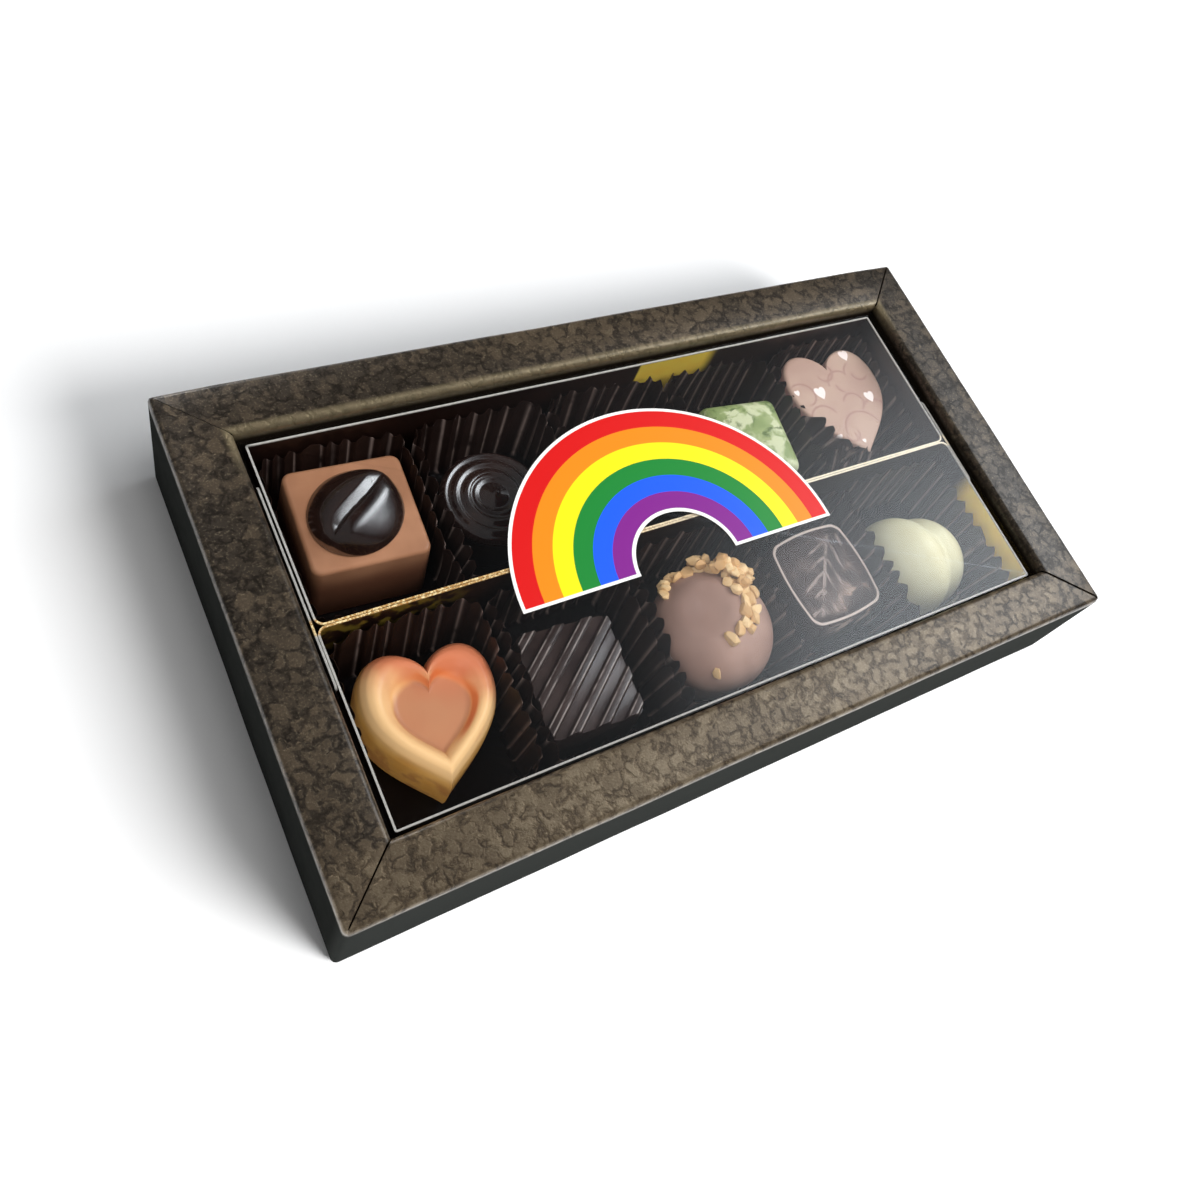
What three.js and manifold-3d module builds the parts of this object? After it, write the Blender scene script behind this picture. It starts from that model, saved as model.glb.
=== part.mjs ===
// A flat gift box of ten pralines: a folded carton tray with a hollow, mitred rim, a clear drop-in lid
// with an arch sticker, two gold card liners that stand back to back, ten pleated paper cups and their
// pralines. Millimetres; +X runs along the box, +Y to its back, +Z up, origin under the middle of the floor.
import * as THREE from "three";
import { mergeVertices } from "three/addons/utils/BufferGeometryUtils.js";
import Module from "manifold-3d";

// Sheet thicknesses
const BOARD = 0.8;
const CARD = 0.5;
const FILM = 0.3;
const VINYL = 0.15;
const PAPER = 0.2;

// Carton tray
const RIM_WIDTH = 12.4;
const RIM_FOLD = 1.4;
const BASE_FOLD = 1.1;
const MITRE_GAP = 0.4;
const WALL_FOOT_GAP = 0.4;
const FLOOR_MARGIN = 20;

// Clear lid and its sticker
const LID_RECESS = 3;
const LID_SKIRT = 12;
const LID_CORNER_SLIT = 0.6;
const ARCH_OUTER = 39.6;
const ARCH_INNER = 12.2;
const ARCH_X = -4;
const ARCH_Y = -10.2;

// Gold liners
const COLUMNS = 5;
const CARD_BEND = 2;
const TAB_GRIP = 13;
const TAB_REACH_RIGHT = 13;
const TAB_REACH_LEFT = 32;
const TAB_ROUND = 1.5;

// Paper cups
const PLEATS = 34;
const PLEAT_FOOT = 0.4;
const PLEAT_RIM = 1;
const CUP_CORNER = 3;
const CUP_FLARE_X = 0.1;
const CUP_FLARE_Y = 1.35;
const CUP_DROP = 3.4;
const PINK_DEPTH = 2.6;

// Fits
const LID_FIT = 0.3;
const TRAY_FIT = 0.3;
const TRAY_JOINT = 0.3;
const LID_SEAT = 0.3;
const CUP_FIT = 0.35;
const PRALINE_FIT = 0.3;
const REST = 0.3;
const HEADROOM = 1.08;

// Coffee block and the half bean on it
const BLOCK_SIDE = 25.4;
const BLOCK_HEIGHT = 18.2;
const BLOCK_DRAFT = 0.7;
const BLOCK_CORNER = 2.4;
const BLOCK_EDGE = 0.8;
const BLOCK_SHIFT = [0.3, 3.6];
const BLOCK_TURN = -3;
const BEAN_LENGTH = 21;
const BEAN_WIDTH = 18.6;
const BEAN_RISE = 5;
const BEAN_TURN = -42;
const BEAN_GROOVE = 1.5;
const BEAN_SWAY = 1.6;

// Piped swirl
const SWIRL_DIAMETER = 23.8;
const SWIRL_HEIGHT = 14.6;
const SWIRL_FALL = 1.6;
const SWIRL_STRAND = 2.9;
const SWIRL_RIDGE = 1.1;
const SWIRL_SHIFT = [-1.4, 2];

// Fluted round
const FLUTED_DIAMETER = 25;
const FLUTED_HEIGHT = 16.5;
const FLUTES = 14;
const FLUTE_DEPTH = 1.2;
const FLUTED_DRAFT = 1;
const FLUTED_SHOULDER = 2;

// Green cushion
const CUSHION_SIDE = 23.6;
const CUSHION_HEIGHT = 18;
const CUSHION_CORNER = 3;
const CUSHION_DRAFT = 1.4;
const CUSHION_CROWN = 3.6;
const CUSHION_SHIFT = [0.8, -2];
const CUSHION_TURN = -6;

// Flat pink heart
const FLAT_HEART_WIDTH = 28.6;
const FLAT_HEART_LENGTH = 32;
const FLAT_HEART_HEIGHT = 17.4;
const FLAT_HEART_EDGE = 1.5;
const FLAT_HEART_SHIFT = [0, 0.885];
const FLAT_HEART_TURN = -3;

// Bordered heart
const HEART_WIDTH = 27.6;
const HEART_LENGTH = 29.5;
const HEART_HEIGHT = 17.5;
const HEART_DRAFT = 1;
const HEART_BORDER = 5.4;
const HEART_SINK = 2.4;
const HEART_SHIFT = [-0.1, 0];
const HEART_TURN = -8;

// Ridged block
const RIDGED_WIDTH = 22.6;
const RIDGED_DEPTH = 25;
const RIDGED_HEIGHT = 14;
const RIDGED_CORNER = 2;
const RIDGED_DRAFT = 0.8;
const RIDGE_PITCH = 4.5;
const RIDGE_FOOT = 2.5;
const RIDGE_TOP = 1.5;
const RIDGE_RISE = 1.5;
const RIDGE_SLANT = 44;
const RIDGED_SHIFT = [-1.6, -2.4];
const RIDGED_TURN = -4;

// Nut dome, the hollow in its top, its crust and a loose crumb
const DOME_DIAMETER = 29.23;
const DOME_HEIGHT = 21.4;
const DOME_WAIST = 0.58;
const DOME_TUCK = 2.6;
const DOME_SHIFT = [0, -2.6];
const HOLLOW_AT = [-2.4, 2.9];
const HOLLOW_RADIUS = 8;
const HOLLOW_DEPTH = 1.8;
const NUT_SIZE = 1.9;
const NUT_STEP = 2.4;
const NUT_LANES = 3;
const NUT_LANE_FROM = 7.6;
const NUT_LANE_STEP = 2;
const NUT_EDGE = 13;
const NUT_ARC_FROM = -60;
const NUT_ARC_TO = 145;
const CRUMB_SIZE = 1.2;
const CRUMB_AROUND = -121;
const CRUMB_DOWN = 54;

// Square pillow
const PILLOW_WIDTH = 23;
const PILLOW_DEPTH = 24;
const PILLOW_HEIGHT = 15.2;
const PILLOW_CORNER = 2.4;
const PILLOW_BULGE = 1.2;
const PILLOW_SHOULDER = 1.6;
const PILLOW_BORDER = 1.3;
const PILLOW_SINK = 0.8;
const PILLOW_SHIFT = [1.8, 0.2];
const PILLOW_TURN = 3;

// White shell
const SHELL_WIDTH = 23;
const SHELL_LENGTH = 28;
const SHELL_HEIGHT = 18.2;
const SHELL_FOLD = 0.8;
const SHELL_SHIFT = [2.2, -1.6];
const SHELL_TURN = 14;

const DEG = Math.PI / 180;
const WELD = 1e-4;
const wasm = await Module();
wasm.setup();

// A closed geometry as a solid, and a solid as a geometry
function solid(geometry) {
  const bare = new THREE.BufferGeometry();
  bare.setAttribute("position", geometry.attributes.position);
  bare.setIndex(geometry.index);
  const merged = mergeVertices(bare, WELD);
  const corners = merged.index.array;
  const kept = [];
  for (let k = 0; k < corners.length; k += 3) {
    const [a, b, c] = corners.slice(k, k + 3);
    if (a !== b && b !== c && c !== a) kept.push(a, b, c);
  }
  return new wasm.Manifold(
    new wasm.Mesh({
      numProp: 3,
      vertProperties: merged.attributes.position.array,
      triVerts: new Uint32Array(kept),
    }),
  );
}

function shapeOf(body) {
  const { vertProperties, triVerts } = body.getMesh();
  const geometry = new THREE.BufferGeometry();
  geometry.setAttribute("position", new THREE.BufferAttribute(vertProperties, 3));
  geometry.setIndex(new THREE.BufferAttribute(triVerts, 1));
  geometry.computeVertexNormals();
  return geometry;
}

function block(from, to) {
  const size = to.map((value, axis) => value - from[axis]);
  const middle = to.map((value, axis) => (value + from[axis]) / 2);
  return solid(new THREE.BoxGeometry(...size).translate(...middle));
}

// Outlines: closed loops of points, anticlockwise from above
function loop(shape, divisions) {
  const points = shape.getPoints(divisions);
  return points.filter((p, k) => p.distanceTo(points[(k + 1) % points.length]) > WELD);
}

function roundedRect(halfX, halfY, radius) {
  const x = halfX - radius;
  const y = halfY - radius;
  const shape = new THREE.Shape();
  shape.absarc(x, y, radius, 0, 90 * DEG);
  shape.absarc(-x, y, radius, 90 * DEG, 180 * DEG);
  shape.absarc(-x, -y, radius, 180 * DEG, 270 * DEG);
  shape.absarc(x, -y, radius, 270 * DEG, 360 * DEG);
  shape.closePath();
  return shape;
}

function circle(radius, count) {
  return loop(new THREE.Shape().absarc(0, 0, radius, 0, 360 * DEG), count / 2);
}

// A heart of unit curves, drawn from the notch and brought to its width and length
function heart(width, length) {
  const shape = new THREE.Shape();
  shape.moveTo(0, 0.62);
  shape.bezierCurveTo(-0.16, 1.02, -1, 1.18, -1, 0.3);
  shape.bezierCurveTo(-1, -0.32, -0.3, -0.7, 0, -1);
  shape.bezierCurveTo(0.3, -0.7, 1, -0.32, 1, 0.3);
  shape.bezierCurveTo(1, 1.18, 0.16, 1.02, 0, 0.62);
  const points = loop(shape, 9);
  const box = new THREE.Box2().setFromPoints(points);
  const size = box.getSize(new THREE.Vector2());
  const middle = box.getCenter(new THREE.Vector2());
  const grow = new THREE.Vector2(width, length).divide(size);
  return points.map((p) => p.clone().sub(middle).multiply(grow));
}

// The same loop drawn inward by a distance, with corners kept true
function inset(points, distance) {
  const count = points.length;
  return points.map((p, k) => {
    const come = p.clone().sub(points[(k + count - 1) % count]).normalize();
    const go = points[(k + 1) % count].clone().sub(p).normalize();
    const inward = new THREE.Vector2(-come.y - go.y, come.x + go.x).normalize();
    const stretch = 1 / Math.max(0.6, inward.dot(new THREE.Vector2(-come.y, come.x)));
    return p.clone().addScaledVector(inward, distance * stretch);
  });
}

// The same loop drawn in about its middle, by a distance at its nearest side
function shrink(points, distance) {
  const size = new THREE.Box2().setFromPoints(points).getSize(new THREE.Vector2());
  return points.map((p) => p.clone().multiplyScalar(1 - (2 * distance) / Math.min(size.x, size.y)));
}

function raise(points, z) {
  return points.map((p) => new THREE.Vector3(p.x, p.y, z));
}

function middleOf(ring) {
  const sum = ring.reduce((total, p) => total.add(p), new THREE.Vector3());
  const middle = sum.divideScalar(ring.length);
  return ring.map(() => middle);
}

// Each four-sided patch of a lathe split along its shorter diagonal, so that the two skins of a sheet agree
function splitShort(lathe) {
  const { position } = lathe.attributes;
  const corner = (k) => new THREE.Vector3().fromBufferAttribute(position, k);
  const between = (k, m) => corner(k).distanceTo(corner(m));
  const turned = [];
  const patches = lathe.index.array;
  for (let k = 0; k < patches.length; k += 6) {
    const [a, b, d, c] = patches.slice(k, k + 4);
    if (between(a, c) < between(b, d)) turned.push(a, b, c, c, d, a);
    else turned.push(a, b, d, c, d, b);
  }
  lathe.setIndex(turned);
  return lathe;
}

// A lathe whose rings are carried out to the given loops, from the underside round to the last ring;
// a capped one closes on the middle of its first and last rings, an open one closes on itself
function ringed(rings, capped = true) {
  const stack = capped ? [middleOf(rings[0]), ...rings, middleOf(rings.at(-1))] : [...rings, rings[0]];
  const count = rings[0].length;
  const lathe = new THREE.LatheGeometry(stack.map((ring, j) => new THREE.Vector2(1, j)), count);
  const position = lathe.attributes.position;
  for (let i = 0; i <= count; i += 1) {
    stack.forEach((ring, j) => {
      const { x, y, z } = ring[i % count];
      position.setXYZ(i * stack.length + j, x, y, z);
    });
  }
  return splitShort(lathe);
}

// A moulded piece: one outline carried up through steps of [distance drawn in, height]
function moulded(outline, steps, draw = inset) {
  return solid(ringed(steps.map(([distance, z]) => raise(draw(outline, distance), z))));
}

function aboveFloor(body) {
  const { min, max } = body.boundingBox();
  return body.intersect(block([min[0] - 1, min[1] - 1, 0], [max[0] + 1, max[1] + 1, max[2] + 1]));
}

function ellipsoid(x, y, z) {
  return new THREE.SphereGeometry(1, 20, 12).scale(x / 2, y / 2, z / 2);
}

// Pralines, each standing on z = 0 at the middle of its cup
function coffeeBlock() {
  const side = BLOCK_SIDE / 2;
  return moulded(loop(roundedRect(side, side, BLOCK_CORNER), 2), [
    [0, 0],
    [BLOCK_DRAFT, BLOCK_HEIGHT - BLOCK_EDGE],
    [BLOCK_DRAFT + 0.3 * BLOCK_EDGE, BLOCK_HEIGHT - 0.3 * BLOCK_EDGE],
    [BLOCK_DRAFT + BLOCK_EDGE, BLOCK_HEIGHT],
  ]);
}

// Half a bean with a swaying groove along its back
function coffeeBean() {
  const dome = aboveFloor(solid(ellipsoid(BEAN_WIDTH, BEAN_LENGTH, 2 * BEAN_RISE)));
  const sway = [-0.5, -0.25, 0, 0.25, 0.5].map(
    (share) =>
      new THREE.Vector3(
        BEAN_SWAY * Math.sin(2 * Math.PI * share),
        0.8 * BEAN_LENGTH * share,
        BEAN_RISE * Math.sqrt(1 - 2.2 * share * share),
      ),
  );
  const groove = new THREE.ExtrudeGeometry(new THREE.Shape(circle(BEAN_GROOVE, 8)), {
    extrudePath: new THREE.CatmullRomCurve3(sway),
    steps: 12,
    bevelEnabled: false,
  });
  return dome.subtract(solid(groove));
}

// A strand wound up to a tip: the height falls outward and waves once for each strand
function swirl() {
  const radius = SWIRL_DIAMETER / 2;
  const count = 28;
  const height = (r, angle) => {
    const wave = Math.cos(2 * Math.PI * (r / SWIRL_STRAND - angle / (2 * Math.PI)));
    const fade = Math.min(1, (radius - r) / SWIRL_RIDGE);
    return SWIRL_HEIGHT - SWIRL_FALL * (r / radius) ** 1.6 + SWIRL_RIDGE * fade * (wave - 1) / 2;
  };
  const ring = (r, z) =>
    circle(r, count).map((p) => new THREE.Vector3(p.x, p.y, z ?? height(r, Math.atan2(p.y, p.x))));
  const rings = [ring(radius - 1, 0), ring(radius, 3)];
  for (let r = radius; r > SWIRL_STRAND / 4; r -= SWIRL_STRAND / 4) rings.push(ring(r));
  return solid(ringed(rings));
}

function flutedRound() {
  const outline = circle(FLUTED_DIAMETER / 2, 4 * FLUTES).map((p) => {
    const wave = (1 + Math.cos(FLUTES * Math.atan2(p.y, p.x))) / 2;
    return p.clone().setLength(p.length() - FLUTE_DEPTH * wave);
  });
  const steps = [
    [0, 0],
    [FLUTED_DRAFT, FLUTED_HEIGHT - FLUTED_SHOULDER],
    [FLUTED_DRAFT + FLUTED_SHOULDER, FLUTED_HEIGHT],
  ];
  return moulded(outline, steps, shrink);
}

function greenCushion() {
  const side = CUSHION_SIDE / 2;
  const crownAt = CUSHION_HEIGHT - CUSHION_CROWN;
  const steps = [
    [0, 0],
    [0.3 * CUSHION_DRAFT, 0.5 * crownAt],
    [CUSHION_DRAFT, crownAt],
    [CUSHION_DRAFT + 0.5 * CUSHION_CROWN, crownAt + 0.62 * CUSHION_CROWN],
    [CUSHION_DRAFT + 1.5 * CUSHION_CROWN, CUSHION_HEIGHT],
  ];
  return moulded(loop(roundedRect(side, side, CUSHION_CORNER), 3), steps, shrink);
}

function flatHeart() {
  return moulded(heart(FLAT_HEART_WIDTH, FLAT_HEART_LENGTH), [
    [FLAT_HEART_EDGE, 0],
    [0, FLAT_HEART_EDGE],
    [0, FLAT_HEART_HEIGHT - FLAT_HEART_EDGE],
    [0.3 * FLAT_HEART_EDGE, FLAT_HEART_HEIGHT - 0.3 * FLAT_HEART_EDGE],
    [FLAT_HEART_EDGE, FLAT_HEART_HEIGHT],
  ]);
}

// A raised round border falls to a sunk middle
function borderedHeart() {
  const steps = [
    [0, 0],
    [0.4 * HEART_DRAFT, 0.7 * HEART_HEIGHT],
    [HEART_DRAFT, HEART_HEIGHT - 1.2],
    [HEART_DRAFT + 0.25 * HEART_BORDER, HEART_HEIGHT],
    [HEART_DRAFT + 0.45 * HEART_BORDER, HEART_HEIGHT - 0.3],
    [HEART_DRAFT + HEART_BORDER, HEART_HEIGHT - HEART_SINK],
  ];
  return moulded(heart(HEART_WIDTH, HEART_LENGTH), steps, shrink);
}

// Slanting ridges end flush with the top of the block
function ridgedBlock() {
  const outline = loop(roundedRect(RIDGED_WIDTH / 2, RIDGED_DEPTH / 2, RIDGED_CORNER), 2);
  const reach = RIDGED_WIDTH + RIDGED_DEPTH;
  const bar = new THREE.Shape();
  bar.moveTo(-RIDGE_FOOT / 2, -RIDGE_RISE);
  bar.lineTo(RIDGE_FOOT / 2, -RIDGE_RISE);
  bar.lineTo(RIDGE_FOOT / 2, 0);
  bar.lineTo(RIDGE_TOP / 2, RIDGE_RISE);
  bar.lineTo(-RIDGE_TOP / 2, RIDGE_RISE);
  bar.lineTo(-RIDGE_FOOT / 2, 0);
  const ridge = new THREE.ExtrudeGeometry(bar, { depth: reach, bevelEnabled: false });
  ridge.translate(0, 0, -reach / 2).rotateX(90 * DEG).translate(0, 0, RIDGED_HEIGHT);
  const envelope = moulded(outline, [
    [RIDGED_DRAFT, RIDGED_HEIGHT - RIDGE_RISE / 2],
    [RIDGED_DRAFT + 0.5, RIDGED_HEIGHT + RIDGE_RISE + 1],
  ]);
  const sides = Math.floor(reach / 2 / Math.SQRT2 / RIDGE_PITCH);
  let body = moulded(outline, [
    [0, 0],
    [RIDGED_DRAFT, RIDGED_HEIGHT],
  ]);
  for (let k = -sides; k <= sides; k += 1) {
    const placed = ridge.clone().translate(k * RIDGE_PITCH, 0, 0).rotateZ((RIDGE_SLANT - 90) * DEG);
    body = body.add(solid(placed).intersect(envelope));
  }
  return body;
}

// The dome swells above its foot and has a hollow in its top; grown by a gap it is also the seat of the nuts
function domePoint(down, around, grow) {
  const radius = DOME_DIAMETER / 2 + grow;
  const waist = DOME_HEIGHT * DOME_WAIST;
  const flat = Math.sin(down) ** 0.8 * radius;
  const x = flat * Math.cos(around);
  const y = flat * Math.sin(around);
  const off = Math.hypot(x - HOLLOW_AT[0], y - HOLLOW_AT[1]) / HOLLOW_RADIUS;
  const hollow = HOLLOW_DEPTH * Math.max(0, 1 - off * off) ** 2;
  return new THREE.Vector3(x, y, waist + (DOME_HEIGHT - waist + grow) * Math.cos(down) - hollow);
}

function nutDome(grow) {
  const count = 28;
  const foot = circle(DOME_DIAMETER / 2 - DOME_TUCK + grow, count);
  const rings = [raise(foot, 0)];
  for (let down = 100; down > 3; down -= 12) {
    rings.push(foot.map((p, k) => domePoint(down * DEG, (360 * k * DEG) / count, grow)));
  }
  return solid(ringed(rings));
}

// Repeatable scatter between -1 and 1
function scatter(seed) {
  const wave = Math.sin(seed * 12.9898) * 43758.5453;
  return 2 * (wave - Math.floor(wave)) - 1;
}

function nut(at, size, seed) {
  const chip = new THREE.IcosahedronGeometry(size, 0);
  chip.scale(1 + 0.2 * scatter(seed), 1 + 0.2 * scatter(seed + 1), 1 + 0.2 * scatter(seed + 2));
  chip.rotateX(3 * scatter(seed + 3)).rotateY(3 * scatter(seed + 4));
  return solid(chip.translate(at.x, at.y, at.z));
}

// The place on the dome under a point of the plan
function onDome(x, y, grow) {
  const share = Math.hypot(x, y) / (DOME_DIAMETER / 2 + grow);
  return domePoint(Math.asin(Math.min(1, share ** 1.25)), Math.atan2(y, x), grow);
}

// Chips lie close enough to grip each other, in lanes round the hollow, and stop short of the dome's side
function nutCrust() {
  let crust = null;
  let seed = 1;
  for (let lane = 0; lane < NUT_LANES; lane += 1) {
    const ring = NUT_LANE_FROM + NUT_LANE_STEP * lane;
    const step = NUT_STEP / ring;
    for (let around = NUT_ARC_FROM * DEG; around < NUT_ARC_TO * DEG; around += step) {
      const turn = around + 0.1 * step * scatter(seed);
      const x = HOLLOW_AT[0] + ring * Math.cos(turn);
      const y = HOLLOW_AT[1] + ring * Math.sin(turn);
      seed += 7;
      if (Math.hypot(x, y) > NUT_EDGE) continue;
      const chip = nut(onDome(x, y, 0.4 * NUT_SIZE), NUT_SIZE, seed);
      crust = crust ? crust.add(chip) : chip;
    }
  }
  return crust.subtract(nutDome(REST));
}

function nutCrumb() {
  const at = domePoint(CRUMB_DOWN * DEG, CRUMB_AROUND * DEG, 0.9 * CRUMB_SIZE);
  return nut(at, CRUMB_SIZE, 4).subtract(nutDome(REST));
}

// Sides bow out between the corners; a thin raised border frames a sunk top
function pillow() {
  const flat = loop(roundedRect(PILLOW_WIDTH / 2, PILLOW_DEPTH / 2, PILLOW_CORNER), 2);
  const fine = flat.flatMap((p, k) => {
    const next = flat[(k + 1) % flat.length];
    const gap = p.distanceTo(next);
    const cuts = gap > 2 * PILLOW_CORNER ? 5 : 1;
    return Array.from({ length: cuts }, (_, n) => {
      const share = n / cuts;
      const bow = cuts > 1 ? PILLOW_BULGE * Math.sin(Math.PI * share) : 0;
      const along = next.clone().sub(p).divideScalar(gap);
      const outward = new THREE.Vector2(along.y, -along.x);
      return p.clone().addScaledVector(along, gap * share).addScaledVector(outward, bow);
    });
  });
  const top = PILLOW_HEIGHT;
  const edge = PILLOW_SHOULDER;
  const steps = [
    [0.75 * edge, 0],
    [0, 0.35 * top],
    [0.25 * edge, 0.7 * top],
    [edge, top - 0.4 * edge],
    [edge + 0.35 * PILLOW_BORDER, top],
    [edge + 0.65 * PILLOW_BORDER, top],
    [edge + PILLOW_BORDER, top - PILLOW_SINK],
  ];
  return moulded(fine, steps, shrink);
}

// Two rounded halves meet in a soft fold
function shell() {
  const half = (side) =>
    solid(
      ellipsoid(SHELL_WIDTH * 0.78, SHELL_LENGTH - (side > 0 ? 2 * SHELL_FOLD : 0), 2 * SHELL_HEIGHT)
        .rotateZ(side * 6 * DEG)
        .translate(side * SHELL_WIDTH * 0.11, side > 0 ? -SHELL_FOLD : 0, side > 0 ? 0 : -SHELL_FOLD),
    );
  return aboveFloor(half(-1).add(half(1)));
}

// What stands in each cup, by row and column from the left
const FILLINGS = [
  ["praline_coffee_block", coffeeBlock, "milk", BLOCK_SHIFT, BLOCK_TURN],
  ["praline_swirl", swirl, "dark", SWIRL_SHIFT, 0],
  ["praline_fluted", flutedRound, "milk", [0, 0], 0],
  ["praline_green", greenCushion, "green", CUSHION_SHIFT, CUSHION_TURN],
  ["praline_pink_heart", flatHeart, "pink", FLAT_HEART_SHIFT, FLAT_HEART_TURN],
  ["praline_caramel_heart", borderedHeart, "caramel", HEART_SHIFT, HEART_TURN],
  ["praline_ridged", ridgedBlock, "dark", RIDGED_SHIFT, RIDGED_TURN],
  ["praline_nut_dome", () => nutDome(0), "milk", DOME_SHIFT, 0],
  ["praline_pillow", pillow, "dark", PILLOW_SHIFT, PILLOW_TURN],
  ["praline_shell", shell, "white", SHELL_SHIFT, SHELL_TURN],
];

const TOPPINGS = [
  {
    name: "coffee_bean",
    on: "praline_coffee_block",
    make: () => coffeeBean().rotate([0, 0, BEAN_TURN]).translate([0, 0, BLOCK_HEIGHT + REST]),
    look: "dark",
  },
  { name: "nut_crust", on: "praline_nut_dome", make: nutCrust, look: "nut" },
  { name: "nut_crumb", on: "praline_nut_dome", make: nutCrumb, look: "nut" },
];

// Colour, roughness and metalness of each material
const LOOKS = {
  board: [0x4b4236, 0.55, 0.2],
  gold: [0xd8b25a, 0.35, 0.8],
  paper: [0x1c1210, 0.45, 0],
  film: [0xf2f5f7, 0.08, 0],
  vinyl: [0xf4f4f2, 0.4, 0],
  milk: [0x8a5a42, 0.4, 0],
  dark: [0x2a1a16, 0.3, 0],
  white: [0xe4e0ba, 0.4, 0],
  green: [0xa9b98c, 0.4, 0],
  pink: [0xcba59b, 0.45, 0],
  caramel: [0xd99b5c, 0.35, 0],
  nut: [0xddb478, 0.7, 0],
};

function mesh(name, body, look) {
  const [color, roughness, metalness] = LOOKS[look];
  const material = new THREE.MeshStandardMaterial({ color, roughness, metalness });
  const piece = new THREE.Mesh(shapeOf(body), material);
  piece.name = name;
  return piece;
}

// Each filling stands in a turned group of its own, with what lies on it
const fillings = FILLINGS.map(([name, make, look, shift, turn]) => {
  const group = new THREE.Group();
  group.add(mesh(name, make(), look));
  TOPPINGS.filter(({ on }) => on === name).forEach((top) => group.add(mesh(top.name, top.make(), top.look)));
  group.rotation.z = turn * DEG;
  group.position.set(shift[0], shift[1], 0);
  group.updateMatrixWorld(true);
  return { group, box: new THREE.Box3().setFromObject(group, true) };
});

// The cups take the widest filling, the liners take the cups, and so out to the carton
const reach = (axis) => Math.max(...fillings.map(({ box }) => Math.max(box.max[axis], -box.min[axis])));
const tallest = Math.max(...fillings.map(({ box }) => box.max.z));
const footX = reach("x") + PRALINE_FIT + PLEAT_FOOT / 2 + PAPER / 2;
const footY = reach("y") + PRALINE_FIT + PLEAT_FOOT / 2 + PAPER / 2;
const rimX = footX + CUP_FLARE_X;
const rimY = footY + CUP_FLARE_Y;
const cellX = 2 * rimX + PLEAT_RIM + PAPER + CUP_FIT;
const cellY = 2 * rimY + PLEAT_RIM + PAPER + CUP_FIT;
const backHalf = (COLUMNS * cellX) / 2 + CARD;
const frontHalf = backHalf + TRAY_FIT;
const tabHalf = frontHalf + CARD;
const trayDepth = cellY + 2 * CARD;
const trayY = TRAY_JOINT / 2 + trayDepth / 2;
const lidX = tabHalf + TRAY_FIT;
const lidY = trayY + trayDepth / 2 + TRAY_FIT;
const wellX = lidX + FILM + LID_FIT;
const wellY = lidY + FILM + LID_FIT;
const halfX = wellX + RIM_WIDTH;
const halfY = wellY + RIM_WIDTH;
const cupFloor = BOARD + CARD;
const lidUnder = cupFloor + PAPER + REST + tallest + HEADROOM;
const trayTop = lidUnder - LID_SEAT;
const cupTop = trayTop - CUP_DROP;
const boxHeight = lidUnder + FILM + LID_RECESS;

// One folded board: a hoop of floor edge, outer wall, rim and inner wall, closed by the floor panel
function cartonTray() {
  const section = new THREE.Path();
  const inner = RIM_WIDTH;
  const arc = (u, z, radius, from, to) => section.absarc(u, z, radius, from * DEG, to * DEG, from > to);
  section.moveTo(FLOOR_MARGIN, 0);
  arc(BASE_FOLD, BASE_FOLD, BASE_FOLD, 270, 180);
  arc(RIM_FOLD, boxHeight - RIM_FOLD, RIM_FOLD, 180, 90);
  arc(inner - RIM_FOLD, boxHeight - RIM_FOLD, RIM_FOLD, 90, 0);
  section.lineTo(inner, BOARD + WALL_FOOT_GAP);
  section.lineTo(inner - BOARD, BOARD + WALL_FOOT_GAP);
  arc(inner - RIM_FOLD, boxHeight - RIM_FOLD, RIM_FOLD - BOARD, 0, 90);
  arc(RIM_FOLD, boxHeight - RIM_FOLD, RIM_FOLD - BOARD, 90, 180);
  arc(BASE_FOLD, BASE_FOLD, BASE_FOLD - BOARD, 180, 270);
  section.lineTo(FLOOR_MARGIN, BOARD);
  const hoop = loop(section, 3).map(({ x: u, y: z }) =>
    [
      [1, 1],
      [-1, 1],
      [-1, -1],
      [1, -1],
    ].map(([sx, sy]) => new THREE.Vector3(sx * (halfX - u), sy * (halfY - u), z)),
  );
  const panelX = halfX - FLOOR_MARGIN + BOARD;
  const panelY = halfY - FLOOR_MARGIN + BOARD;
  let body = solid(ringed(hoop, false)).add(block([-panelX, -panelY, 0], [panelX, panelY, BOARD]));
  const from = -BOARD;
  const to = (RIM_WIDTH - RIM_FOLD) * Math.SQRT2;
  for (const [sx, sy] of [[1, 1], [-1, 1], [-1, -1], [1, -1]]) {
    const slit = new THREE.BoxGeometry(to - from, MITRE_GAP, boxHeight);
    slit.translate((to + from) / 2, 0, boxHeight / 2 + BOARD + WALL_FOOT_GAP / 2);
    slit.rotateZ(Math.atan2(sy, sx)).translate(sx * wellX, sy * wellY, 0);
    body = body.subtract(solid(slit));
  }
  return body;
}

// A card liner with bent corners, open at the top
function goldTray(half) {
  const depth = trayDepth / 2;
  const outer = loop(roundedRect(half, depth, CARD_BEND), 2);
  const inner = inset(outer, CARD);
  return solid(
    ringed([raise(outer, BOARD), raise(outer, trayTop), raise(inner, trayTop), raise(inner, cupFloor)]),
  );
}

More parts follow.
